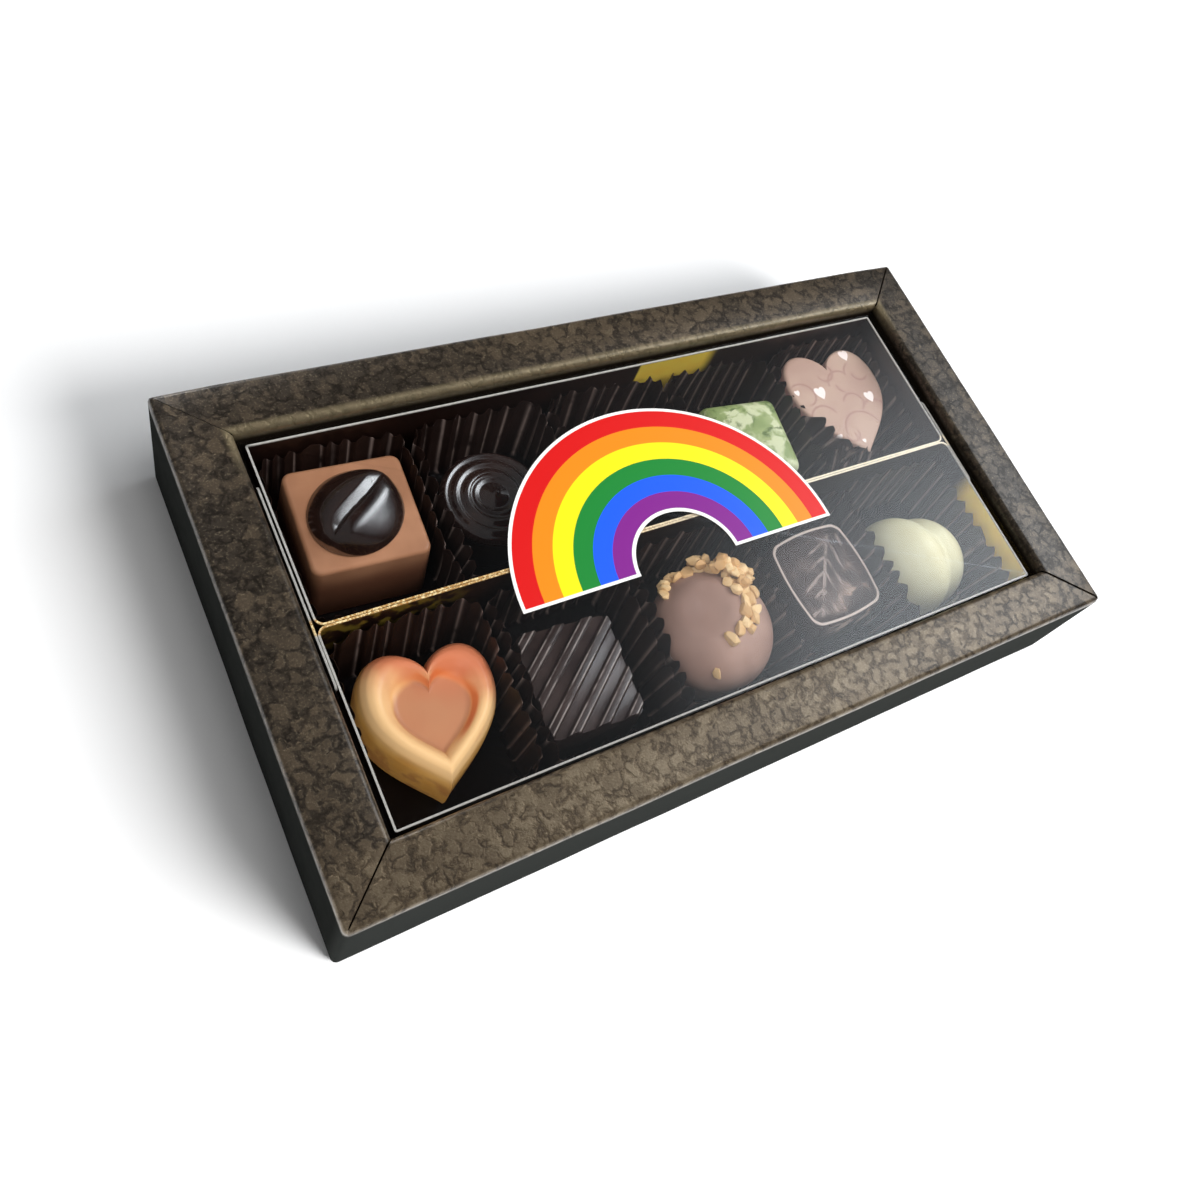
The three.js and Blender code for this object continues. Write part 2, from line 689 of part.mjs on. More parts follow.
// A tab glued on an end wall of the front liner reaches past the back liner
function tab(side, reachBack) {
  const low = BOARD;
  const from = trayY - TAB_GRIP;
  const to = trayY + reachBack;
  const flap = new THREE.Shape();
  flap.moveTo(from, low);
  flap.lineTo(to, low);
  flap.absarc(to - TAB_ROUND, trayTop - TAB_ROUND, TAB_ROUND, 0, 90 * DEG);
  flap.absarc(from + TAB_ROUND, trayTop - TAB_ROUND, TAB_ROUND, 90 * DEG, 180 * DEG);
  flap.closePath();
  const sheet = new THREE.ExtrudeGeometry(flap, { depth: CARD, bevelEnabled: false, curveSegments: 3 });
  sheet.rotateX(90 * DEG).rotateZ(90 * DEG);
  return solid(sheet.translate(side > 0 ? frontHalf : -frontHalf - CARD, 0, 0));
}

// Pleats deepen from the foot to the rim, where every outward fold ends in a tooth
function paperCup(phase) {
  const count = 2 * PLEATS;
  const ring = (x, y, pleat, offset, heightAt) => {
    const path = roundedRect(x, y, CUP_CORNER);
    return Array.from({ length: count }, (_, k) => {
      const share = (k / count + phase) % 1;
      const out = k % 2 ? 1 : -1;
      const tangent = path.getTangent(share);
      const outward = new THREE.Vector2(tangent.y, -tangent.x);
      const p = path.getPoint(share).addScaledVector(outward, (out * pleat) / 2 + offset);
      return new THREE.Vector3(p.x, p.y, heightAt(out));
    });
  };
  const tooth = (out) => (out > 0 ? cupTop : cupTop - PINK_DEPTH);
  return solid(
    ringed([
      ring(footX, footY, PLEAT_FOOT, PAPER / 2, () => cupFloor),
      ring(rimX, rimY, PLEAT_RIM, PAPER / 2, tooth),
      ring(rimX, rimY, PLEAT_RIM, -PAPER / 2, tooth),
      ring(footX, footY, PLEAT_FOOT, -PAPER / 2, () => cupFloor + PAPER),
    ]),
  );
}

// A folded sheet with four skirts, slit at the corners
function clearLid() {
  const top = lidUnder + FILM;
  const low = top - LID_SKIRT;
  let body = block([-lidX - FILM, -lidY - FILM, low], [lidX + FILM, lidY + FILM, top]);
  body = body.subtract(block([-lidX, -lidY, low - 1], [lidX, lidY, lidUnder]));
  for (const [sx, sy] of [[1, 1], [-1, 1], [-1, -1], [1, -1]]) {
    const slit = new THREE.BoxGeometry(4 * FILM, LID_CORNER_SLIT, LID_SKIRT);
    slit.translate(sx * (lidX + FILM), sy * (lidY - LID_CORNER_SLIT / 2), lidUnder - LID_SKIRT / 2);
    body = body.subtract(solid(slit));
  }
  return body;
}

function archSticker() {
  const arch = new THREE.Shape();
  arch.absarc(0, 0, ARCH_OUTER, 0, 180 * DEG);
  arch.absarc(0, 0, ARCH_INNER, 180 * DEG, 0, true);
  arch.closePath();
  const sheet = new THREE.ExtrudeGeometry(arch, { depth: VINYL, bevelEnabled: false, curveSegments: 20 });
  return solid(sheet.translate(ARCH_X, ARCH_Y, lidUnder + FILM));
}

const box = new THREE.Group();
box.add(mesh("carton_tray", cartonTray(), "board"));

const backLiner = mesh("gold_tray_back", goldTray(backHalf), "gold");
backLiner.position.y = trayY;
const tabs = tab(1, TAB_REACH_RIGHT).add(tab(-1, TAB_REACH_LEFT));
const frontLiner = mesh("gold_tray_front", goldTray(frontHalf).add(tabs), "gold");
frontLiner.position.y = -trayY;
box.add(backLiner, frontLiner);

fillings.forEach(({ group }, k) => {
  const row = k < COLUMNS ? "back" : "front";
  const column = k % COLUMNS;
  const place = new THREE.Group();
  place.position.set((column - (COLUMNS - 1) / 2) * cellX, row === "back" ? trayY : -trayY, 0);
  group.position.z = cupFloor + PAPER + REST;
  place.add(mesh(`cup_${row}_${column + 1}`, paperCup((0.37 * k) / (2 * PLEATS)), "paper"), group);
  box.add(place);
});

const lid = new THREE.Group();
lid.add(mesh("clear_lid", clearLid(), "film"), mesh("rainbow_sticker", archSticker(), "vinyl"));
box.add(lid);

export default box;
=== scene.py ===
# %% [markdown]
# # A flat gift box of ten pralines
#
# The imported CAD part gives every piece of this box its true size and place, with plain facets and colours.
# In this lesson the same box is dressed for the camera: folded board with a leather grain, gold card,
# dark pleated paper, glossy and satin chocolate, and a clear lid that carries a soft reflection.
# The CAD part is loaded first and is never moved, so each new piece can be set exactly over its own node.

import math

import bpy
import numpy as np
from mathutils import Matrix, Vector


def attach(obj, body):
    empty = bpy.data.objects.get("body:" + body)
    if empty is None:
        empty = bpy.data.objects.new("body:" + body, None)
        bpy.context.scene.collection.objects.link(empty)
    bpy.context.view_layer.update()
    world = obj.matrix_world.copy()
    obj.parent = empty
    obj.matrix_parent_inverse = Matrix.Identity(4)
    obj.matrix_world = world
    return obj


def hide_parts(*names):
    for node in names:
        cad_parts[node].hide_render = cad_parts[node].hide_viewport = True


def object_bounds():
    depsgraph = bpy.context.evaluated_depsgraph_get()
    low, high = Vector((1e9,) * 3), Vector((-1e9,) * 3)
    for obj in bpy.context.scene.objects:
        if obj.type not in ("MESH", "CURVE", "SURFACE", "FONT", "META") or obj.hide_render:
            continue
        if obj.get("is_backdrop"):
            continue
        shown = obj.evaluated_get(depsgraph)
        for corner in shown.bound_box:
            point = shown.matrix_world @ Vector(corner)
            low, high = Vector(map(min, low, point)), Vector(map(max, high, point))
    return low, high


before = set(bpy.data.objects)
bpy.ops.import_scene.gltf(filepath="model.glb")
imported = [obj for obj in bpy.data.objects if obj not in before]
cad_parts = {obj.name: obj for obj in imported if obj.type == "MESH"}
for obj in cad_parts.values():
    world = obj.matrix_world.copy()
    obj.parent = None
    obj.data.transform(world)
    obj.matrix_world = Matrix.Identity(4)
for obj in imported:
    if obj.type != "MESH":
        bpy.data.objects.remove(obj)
cad_low, cad_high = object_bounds()
MM = 0.001
print("CAD nodes:", len(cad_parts), "high corner in mm:", [round(v / MM, 2) for v in cad_high])

# %% [markdown]
# ## The camera
#
# A camera can be nudged by eye until the box fits, or worked out. Here the four corners of the rim were
# solved as a rectangle of known size, which gives the eye point, the direction, the roll and the lens.
# The picture's vanishing centre isn't in the middle of the frame, so the lens is shifted a little.

# %% Place the camera
forward = Vector((0.51897, 0.29204, -0.80336))
up = Vector((0.25694, 0.84307, 0.47246))
turned = Matrix((forward.cross(up), up, -forward)).transposed()
EYE = Vector((-119.96, -79.78, 226.81))
bpy.ops.object.camera_add(location=EYE * MM, rotation=turned.to_euler())
camera = bpy.context.object
camera.data.sensor_width = 36.0
camera.data.lens = 33.28
camera.data.shift_x = -0.1106
camera.data.shift_y = -0.0556
camera.data.clip_start = 0.01
bpy.context.scene.camera = camera
print("camera stands", round(camera.location.length, 3), "m from the origin")

# %% [markdown]
# ## Working by hand in a script
#
# Every operator acts on what is selected, so each helper first clears the selection. Faces, edges and
# points are then picked by where they are and which way they look, as one would click on them.
# All pieces are modelled in millimetres about their own middle, because round numbers are easier to read,
# and are brought to metres and to their place at the end.


# %% Helpers for selecting, modifying and placing
def only(obj=None):
    if bpy.context.mode != "OBJECT":
        bpy.ops.object.mode_set(mode="OBJECT")
    bpy.ops.object.select_all(action="DESELECT")
    if obj:
        obj.select_set(True)
        bpy.context.view_layer.objects.active = obj
    return obj


def pick(obj, kind, test):
    only(obj)
    bpy.ops.object.mode_set(mode="EDIT")
    bpy.ops.mesh.select_mode(type=kind)
    bpy.ops.mesh.select_all(action="DESELECT")
    bpy.ops.object.mode_set(mode="OBJECT")
    mesh = obj.data
    for face in mesh.polygons if kind == "FACE" else ():
        face.select = test(face.center, face.normal)
    for edge in mesh.edges if kind == "EDGE" else ():
        a, b = (mesh.vertices[k].co for k in edge.vertices)
        edge.select = test((a + b) / 2, (b - a).normalized())
    bpy.ops.object.mode_set(mode="EDIT")


def modify(obj, kind, **settings):
    only(obj)
    step = obj.modifiers.new(kind.title(), kind)
    for name, value in settings.items():
        setattr(step, name, value)
    bpy.ops.object.modifier_apply(modifier=step.name)
    return obj


def cuboid(size, middle):
    only()
    bpy.ops.mesh.primitive_cube_add(size=1, location=middle, scale=size)
    bpy.ops.object.transform_apply()
    return bpy.context.object


DRESSED = []


def place(obj, name, node, finish, at=(0, 0, 0), turn=0.0, body="box", smooth=35):
    only(obj)
    obj.name = obj.data.name = name
    obj.scale = (MM, MM, MM)
    obj.rotation_euler = (0, 0, math.radians(turn))
    obj.location = Vector(at) * MM
    bpy.ops.object.transform_apply()
    bpy.ops.object.shade_smooth_by_angle(angle=math.radians(smooth))
    obj.data.materials.clear()
    obj.data.materials.append(finish)
    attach(obj, body)
    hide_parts(node)
    DRESSED.append(obj)
    print(name, "has", len(obj.data.polygons), "faces")
    return obj


# %% [markdown]
# ## Shader sums
#
# A material is a graph of nodes. Written out one by one the graph hides its own idea, so a small class
# wraps a node's output: a sum on it adds the Math nodes, and one method adds any other kind of node.


# %% A wire between nodes
class Wire:
    def __init__(self, tree, socket=None):
        self.tree = tree
        self.socket = socket

    def node(self, kind, settings=None, values=None, out=0):
        made = self.tree.nodes.new("ShaderNode" + kind)
        for name, value in (settings or {}).items():
            if name == "stops":
                ramp = made.color_ramp
                ramp.elements.remove(ramp.elements[1])
                ramp.elements[0].position, ramp.elements[0].color = value[0]
                for spot, colour in value[1:]:
                    ramp.elements.new(spot).color = colour
            elif name == "steps":
                made.color_ramp.interpolation = value
            else:
                setattr(made, name, value)
        for name, value in (values or {}).items():
            if isinstance(value, Wire):
                self.tree.links.new(value.socket, made.inputs[name])
            else:
                made.inputs[name].default_value = value
        return Wire(self.tree, made.outputs[out] if len(made.outputs) else None)

    def maths(self, operation, first, second=0.0):
        return self.node("Math", {"operation": operation}, {0: first, 1: second})

    def __add__(self, other):
        return self.maths("ADD", self, other)

    def __sub__(self, other):
        return self.maths("SUBTRACT", self, other)

    def __rsub__(self, other):
        return self.maths("SUBTRACT", other, self)

    def __mul__(self, other):
        return self.maths("MULTIPLY", self, other)

    def __truediv__(self, other):
        return self.maths("DIVIDE", self, other)

    def __pow__(self, other):
        return self.maths("POWER", self, other)

    def __abs__(self):
        return self.maths("ABSOLUTE", self)

    __radd__ = __add__
    __rmul__ = __mul__


# %% Short words for the nodes used most
def tint(red, green, blue):
    channels = [v / 255 for v in (red, green, blue)]
    return [v / 12.92 if v < 0.0405 else ((v + 0.055) / 1.055) ** 2.4 for v in channels] + [1.0]


def material(name):
    made = bpy.data.materials.new(name)
    made.use_nodes = True
    made.node_tree.nodes.clear()
    start = Wire(made.node_tree)
    return made, start.node("TexCoord", out="Object")


def finish(spot, shader):
    spot.node("OutputMaterial", None, {"Surface": shader})


def surface(spot, values):
    finish(spot, spot.node("BsdfPrincipled", None, values))


def axis(spot, name):
    return spot.node("SeparateXYZ", None, {"Vector": spot}, name) * 1000.0


def cloud(spot, size, detail=3.0, rough=0.5, out="Fac"):
    values = {"Vector": spot, "Scale": 1000 / size, "Detail": detail, "Roughness": rough}
    return spot.node("TexNoise", None, values, out)


def swayed(spot, size, reach):
    push = {0: cloud(spot, size, out="Color"), "Scale": reach}
    sway = spot.node("VectorMath", {"operation": "SCALE"}, push)
    return spot.node("VectorMath", {"operation": "ADD"}, {0: spot, 1: sway})


def cells(spot, size, feature, out="Distance"):
    return spot.node("TexVoronoi", {"feature": feature}, {"Vector": spot, "Scale": 1000 / size}, out)


def rise(value, low, high):
    values = {"Value": value, "From Min": low, "From Max": high}
    return value.node("MapRange", {"interpolation_type": "SMOOTHSTEP"}, values)


def mix(share, first, second, how="MIX"):
    return share.node("Mix", {"data_type": "RGBA", "blend_type": how}, {0: share, 6: first, 7: second}, 2)


def bump(height, depth, strength=1.0):
    return height.node("Bump", None, {"Strength": strength, "Distance": depth * MM, "Height": height})


def least(first, second):
    return first.maths("MINIMUM", first, second)


def most(first, second):
    return first.maths("MAXIMUM", first, second)


print("shader words ready")

# %% [markdown]
# ## The carton
#
# The real tray is one sheet of board, folded up into walls, over into a wide rim and down again inside, so
# the rim is hollow. A solid frame would look the same from above, but the folds would be too sharp and the
# corners shut. Here a block gets its rim by an inset and its well by an extrusion, the folds are bevelled
# round, the corners are slit along the mitre, and a Solidify gives the sheet its thickness.

# %% Fold the board
HALF_X, HALF_Y, TALL = 94.9, 54.24, 29.86
RIM, FOLD, BOARD = 12.3, 1.3, 0.8
LIFT, FLOOR_TOP = 0.05, 1.3
WELL_X, WELL_Y = HALF_X - RIM, HALF_Y - RIM
carton = cuboid((2 * HALF_X, 2 * HALF_Y, TALL - 2 * LIFT), (0, 0, TALL / 2 + LIFT))
pick(carton, "FACE", lambda at, out: out.z > 0.9)
bpy.ops.mesh.inset(thickness=RIM)
bpy.ops.mesh.extrude_region_move(TRANSFORM_OT_translate={"value": (0, 0, FLOOR_TOP - TALL)})
bpy.ops.mesh.delete(type="FACE")
pick(carton, "EDGE", lambda at, along: abs(along.x) > 0.99)
bpy.ops.mesh.subdivide(number_cuts=31)
pick(carton, "EDGE", lambda at, along: abs(along.y) > 0.99 and abs(at.x) > WELL_X - 1)
bpy.ops.mesh.subdivide(number_cuts=17)


def is_fold(at, along):
    edge_x, edge_y = abs(at.x) > HALF_X - 0.1, abs(at.y) > HALF_Y - 0.1
    if abs(along.z) > 0.9:
        return edge_x and edge_y
    if abs(abs(along.x) - abs(along.y)) < 0.5:
        return False
    inner_x = abs(abs(at.x) - WELL_X) < 0.1 and abs(at.y) < WELL_Y + 0.1
    inner_y = abs(abs(at.y) - WELL_Y) < 0.1 and abs(at.x) < WELL_X + 0.1
    on_top = at.z > TALL - 0.5
    return (edge_x or edge_y) and (on_top or at.z < 0.5) or (on_top and (inner_x or inner_y))


pick(carton, "EDGE", is_fold)
bpy.ops.mesh.bevel(offset=FOLD, segments=4, affect="EDGES")
print("folded board:", len(carton.data.polygons), "faces")

# %% Slit the mitres and let the long panels dip under the short ones
SLIT, DIP, DEEP_DIP, DIP_REACH = 0.16, 0.34, 0.62, 16
RIM_UNDER = TALL - FOLD - 1.0
CORNERS = [(1, 1), (-1, 1), (-1, -1), (1, -1)]
for sx, sy in CORNERS:
    outside = Vector((sx * HALF_X, sy * HALF_Y, TALL))
    across = Vector((sx, -sy, 0)).normalized()

    def on_corner(at, out):
        near = at.x * sx > WELL_X - 9 and at.y * sy > WELL_Y - 9
        return near and at.z > RIM_UNDER and abs(at.x) < HALF_X - 0.9 and abs(at.y) < HALF_Y - 0.9

    for side in (-SLIT, SLIT):
        pick(carton, "FACE", on_corner)
        bpy.ops.mesh.bisect(plane_co=outside + across * side, plane_no=across)
    pick(carton, "FACE", lambda at, out: on_corner(at, out) and abs((at - outside).dot(across)) < SLIT)
    bpy.ops.mesh.delete(type="FACE")
only(carton)
for point in carton.data.vertices:
    if point.co.z < RIM_UNDER:
        continue
    sx, sy = math.copysign(1, point.co.x), math.copysign(1, point.co.y)
    away = (abs(point.co.x) - HALF_X) - (abs(point.co.y) - HALF_Y)
    if away < -0.05:
        sink = DEEP_DIP if (sx, sy) == (-1, -1) else DIP
        point.co.z -= sink * max(0.0, 1 + away / DIP_REACH) ** 2
bow = bpy.data.textures.new("board_bow", "CLOUDS")
bow.noise_scale = 28.0
modify(carton, "DISPLACE", texture=bow, strength=0.3, mid_level=0.62, texture_coords="LOCAL")
modify(carton, "SOLIDIFY", thickness=BOARD, offset=-1.0)
print("mitred board:", len(carton.data.polygons), "faces")

# %% [markdown]
# The board is covered with bronze-brown paper that is embossed like leather: pebbles of two to three
# millimetres with dark veins between them, and a metallic sheen that comes up where the light glances.
# The front strip of the rim is painted paler than the others as painted sheen, and the left, back and
# right strips darker as painted shade. A pale band along the back rim's inner fold is a painted highlight.
# On the outside walls the same paper looks smooth and almost black, and the front wall is painted lighter
# as painted light; the inner walls are painted darker than the rim as painted shade. One material does it
# all, because how far a point lies in from the edge tells rim, outer wall and inner wall apart.

# %% Leather-grained board
board, spot = material("leather_grained_board")
x, y, height = axis(spot, "X"), axis(spot, "Y"), axis(spot, "Z")
inward = least(HALF_X - abs(x), HALF_Y - abs(y))
on_rim = rise(height, TALL - 3.2, TALL - 1.0)
loose = swayed(spot, 2.2, 0.0034)
PEBBLE = 2.9
vein = rise(cells(loose, PEBBLE, "DISTANCE_TO_EDGE"), 0.0, 0.24)
pebble = most(vein, 0.9 * rise(cloud(spot, 3.0, 3.0, 0.6), 0.42, 0.6))
each = spot.node("SeparateColor", None, {"Color": cells(loose, PEBBLE, "F1", "Color")}, "Red")
speck = cloud(spot, 0.45, 2.0, 0.6)
patch = cloud(spot, 30.0, 2.0)
# The front strip of the rim is painted paler, fading towards the right, as painted sheen.
painted_sheen = rise(y * -1.0, 41.0, 44.0) * (0.3 - 0.15 * rise(x, 20.0, 70.0))
# The left, back and right strips of the rim are painted darker as painted shade.
left_rim_shade = rise(x * -1.0, 81.0, 84.0) * rise(y, -40.0, 10.0)
back_rim_shade = rise(y, 41.0, 44.0) * (1 - rise(x, -60.0, 0.0))
shade = 0.13 * most(most(left_rim_shade, back_rim_shade), rise(x, 81.0, 84.0))
grain = 0.36 * pebble + 0.24 * (each - 0.5) + 0.4 * (speck - 0.5)
tone = grain + 0.3 * (patch - 0.5) + 0.18 + painted_sheen - shade
leather = tone.node(
    "ValToRGB",
    {
        "stops": [
            (0.0, tint(34, 28, 22)),
            (0.3, tint(58, 50, 41)),
            (0.6, tint(92, 79, 63)),
            (0.85, tint(116, 102, 82)),
            (1.0, tint(132, 118, 97)),
        ]
    },
    {"Fac": tone},
)
mica = rise(speck, 0.56, 0.7) * (0.3 + 0.7 * pebble)
# A pale band along the inner fold of the back rim is a painted highlight.
painted_fold_glint = on_rim * rise(inward, RIM - 2.4, RIM - 0.9) * rise(y, 30.0, 44.0)
flecked = mix(0.3 * mica, leather, tint(150, 138, 114))
smooth_side = mix(cloud(spot, 5.0, 4.0), tint(36, 38, 37), tint(48, 49, 47))
# The inner walls are painted a darker brown than the rim as painted shade.
inside = mix(cloud(spot, 3.0, 4.0), tint(26, 21, 17), tint(40, 33, 26))
# The front outer wall is painted lighter than the other outer walls as painted light.
front_wall_painted_light = mix(rise(y * -1.0, 50.0, 54.0), smooth_side, tint(62, 64, 62))
walls = mix(rise(inward, 3.0, 6.0), front_wall_painted_light, inside)
surface(
    spot,
    {
        "Base Color": mix(0.35 * painted_fold_glint, mix(on_rim, walls, flecked), tint(196, 178, 138)),
        "Metallic": on_rim * (0.5 + 0.25 * mica),
        "Roughness": 0.6 - 0.2 * on_rim + 0.12 * (speck - 0.5),
        "Specular IOR Level": 0.0,
        "Coat Weight": on_rim * (0.7 + 0.3 * pebble),
        "Coat Roughness": 0.3,
        "Normal": bump(on_rim * (0.9 * pebble + 0.3 * each + 0.45 * speck) + 0.1 * speck, 0.2, 0.8),
    },
)
place(carton, "carton", "carton_tray", board)

# %% [markdown]
# ## Gold liners
#
# Two shallow trays of gold card stand back to back, and their raw cut edges make the fine pale lines that
# frame the window and part the two rows. A box without its top face is the folded sheet, its upright edges
# are bevelled into bends, and Solidify gives the card. The joining tabs are small sheets of their own.
# Most of the walls are coloured dark brown, and the gold shows on the right end wall, in faint traces along
# the divider and in a patch on the back wall, which is a painted reflection.

# %% Two card trays and their tabs
CARD, LINER_TOP, LINER_FOOT = 0.4, 26.36, 0.85
TAB_CARD, TAB_X, TAB_FOOT, TAB_FRONT = 0.42, 81.66, 0.9, 13.0
bend = bpy.data.textures.new("card_bow", "CLOUDS")
bend.noise_scale = 22.0


def card_tray(half_x, low_y, high_y):
    size = (2 * half_x, high_y - low_y, LINER_TOP - LINER_FOOT)
    tray = cuboid(size, (0, (low_y + high_y) / 2, (LINER_TOP + LINER_FOOT) / 2))
    pick(tray, "FACE", lambda at, out: out.z > 0.9)
    bpy.ops.mesh.delete(type="FACE")
    for bend_radius, is_outer in ((2.0, False), (0.5, True)):
        pick(tray, "EDGE", lambda at, along: abs(along.z) > 0.9 and (abs(at.y) > 20) == is_outer)
        bpy.ops.mesh.bevel(offset=bend_radius, segments=5, affect="EDGES")
    pick(tray, "EDGE", lambda at, along: abs(along.x) > 0.99 and abs(at.z - 10) > 2)
    bpy.ops.mesh.subdivide(number_cuts=40)
    modify(tray, "DISPLACE", texture=bend, strength=0.16, mid_level=0.9, texture_coords="LOCAL")
    return modify(tray, "SOLIDIFY", thickness=CARD, offset=-1.0)


def card_tab(side, reach):
    only()
    bpy.ops.mesh.primitive_plane_add(size=1)
    tab = bpy.context.object
    tab.scale = (LINER_TOP - TAB_FOOT, reach + TAB_FRONT, 1)
    tab.rotation_euler = (0, math.radians(90), 0)
    tab.location = (side * TAB_X, (reach - TAB_FRONT) / 2, (LINER_TOP + TAB_FOOT) / 2)
    bpy.ops.object.transform_apply()
    pick(tab, "EDGE", lambda at, along: abs(along.z) > 0.9)
    bpy.ops.mesh.select_mode(type="VERT")
    bpy.ops.mesh.bevel(offset=1.6, segments=4, affect="VERTICES")
    return modify(tab, "SOLIDIFY", thickness=TAB_CARD, offset=1.0 if side < 0 else -1.0)


liner_back = card_tray(80.88, 0.01, 41.02)
liner_front = card_tray(81.18, -41.02, -0.01)
tabs = [card_tab(1, 13.0), card_tab(-1, 32.0)]
only(liner_front)
for tab in tabs:
    tab.select_set(True)
bpy.ops.object.join()
print("liners:", len(liner_back.data.polygons), "and", len(liner_front.data.polygons), "faces")

# %% Gold card with a raw edge
gold, spot = material("gold_card")
x, y, height = axis(spot, "X"), axis(spot, "Y"), axis(spot, "Z")
facing = axis(spot.node("NewGeometry", out="Normal"), "Z") * 0.001
on_top = rise(facing, 0.5, 0.8) * rise(height, 25.0, 26.0)
raw = most(on_top, rise(height, LINER_TOP - 0.35, LINER_TOP - 0.2))
glitter = rise(cloud(spot, 0.5, 2.0, 0.8), 0.45, 0.62)
on_divider = 1 - rise(abs(y), 1.2, 2.0)
to_right = rise(x, -40.0, 25.0)
pale = mix(cloud(spot, 1.2, 3.0), tint(150, 147, 141), tint(208, 205, 198))
cream = mix(cloud(spot, 1.2, 3.0), tint(226, 210, 180), tint(250, 240, 218))
gilt = mix(glitter, tint(176, 132, 74), tint(255, 232, 176))
edge = mix(on_divider, pale, mix(to_right, gilt, cream))
end_wall = rise(x, 79.6, 80.2) * (1 - rise(y, -16.0, -10.0))
# The gold patch on the back wall is a painted reflection.
painted_back_reflection = rise(y, 39.6, 40.2) * rise(x, 9.0, 9.6) * (1 - rise(x, 28.0, 32.0))
traces = (1 - rise(x, -62.0, -46.0)) * rise(cloud(spot, 3.0, 2.0), 0.44, 0.6)
mid_wall = 0.16 * (1 - rise(abs(y), 0.8, 1.2)) * traces
gold_shown = most(most(end_wall, painted_back_reflection), mid_wall) * (1 - raw)
foil = mix(cloud(spot, 4.0, 4.0), tint(255, 202, 64), tint(255, 230, 96))
dark_wall_colour = mix(cloud(spot, 9.0, 3.0), tint(16, 10, 9), tint(46, 27, 20))
surface(
    spot,
    {
        "Base Color": mix(raw, mix(gold_shown, dark_wall_colour, foil), edge),
        "Metallic": 0.12 * gold_shown,
        "Roughness": 0.42 + 0.2 * raw + 0.15 * (cloud(spot, 1.0) - 0.5),
        "Normal": bump(cloud(spot, 0.8, 3.0), 0.04, 0.5),
    },
)
place(liner_back, "liner_back", "gold_tray_back", gold)
place(liner_front, "liner_front", "gold_tray_front", gold)

# %% [markdown]
# ## Pleated paper cups
#
# A paper cup is a flat sheet pressed into a mould: its wall gathers into sharp pleats and the cut rim keeps
# its zigzag. Pulling thousands of points by hand isn't practical, so a grid stands for the sheet. Its
# columns run round the cup and its rows run from the middle of the floor out and up the wall; each point
# is carried to its place by a formula, and merging doubles closes the seam. Seeded chance makes each pleat
# a little different. Some cups dip, and one leans in over its praline.


# %% Outlines and wrapped sheets
def rounded(half_x, half_y, radius):
    parts = []
    for k, (sx, sy) in enumerate(CORNERS):
        angle = np.radians(90 * k) + np.linspace(0, np.pi / 2, 10)
        centre = np.array([sx * (half_x - radius), sy * (half_y - radius)])
        parts.append(centre + radius * np.column_stack([np.cos(angle), np.sin(angle)]))
    return np.vstack(parts)


def trace(outline, share):
    shut = np.vstack([outline, outline[:1]])
    run = np.r_[0, np.cumsum(np.linalg.norm(np.diff(shut, axis=0), axis=1))]

    def along(s):
        return np.column_stack([np.interp(s % 1, run / run[-1], shut[:, k]) for k in (0, 1)])

    step = along(share + 0.004) - along(share - 0.004)
    step /= np.linalg.norm(step, axis=1, keepdims=True)
    return along(share), np.column_stack([step[:, 1], -step[:, 0]])


def wrapped(columns, rows, form, marks=None):
    only()
    bpy.ops.mesh.primitive_grid_add(x_subdivisions=columns, y_subdivisions=rows, size=2)
    obj = bpy.context.object
    flat = np.zeros(len(obj.data.vertices) * 3)
    obj.data.vertices.foreach_get("co", flat)
    share = (flat.reshape(-1, 3) + 1) / 2
    points = form(share[:, 0], share[:, 1])
    obj.data.vertices.foreach_set("co", points.astype(float).ravel())
    for name, mark in (marks or {}).items():
        layer = obj.data.attributes.new(name, "FLOAT", "POINT")
        layer.data.foreach_set("value", mark(share[:, 0], share[:, 1]).astype(np.float32))
    obj.data.update()
    bpy.ops.object.mode_set(mode="EDIT")
    bpy.ops.mesh.select_all(action="SELECT")
    bpy.ops.mesh.remove_doubles(threshold=0.001)
    bpy.ops.mesh.normals_make_consistent(inside=False)
    bpy.ops.object.mode_set(mode="OBJECT")
    return obj


print("a rounded outline has", len(rounded(10, 10, 2)), "points")

# %% Ten cups
CELL_X, ROW_Y = 32.164, 20.6
CUP_FLOOR, CUP_TOP, PINK = 1.42, 22.95, 2.7
FOOT_X, FOOT_Y, FLARE_X, FLARE_Y = 15.15, 17.9, 0.1, 1.25
PLEATS, PER_PLEAT, FLOOR_ROWS, SHEET = 34, 10, 0.16, 0.1


def zigzag(value):
    return 1 - 4 * abs(value % 1 - 0.5)


def knife(value):
    part = value % 1
    return 1 - 2 * np.where(part < 0.68, part / 0.68, (1 - part) / 0.32)


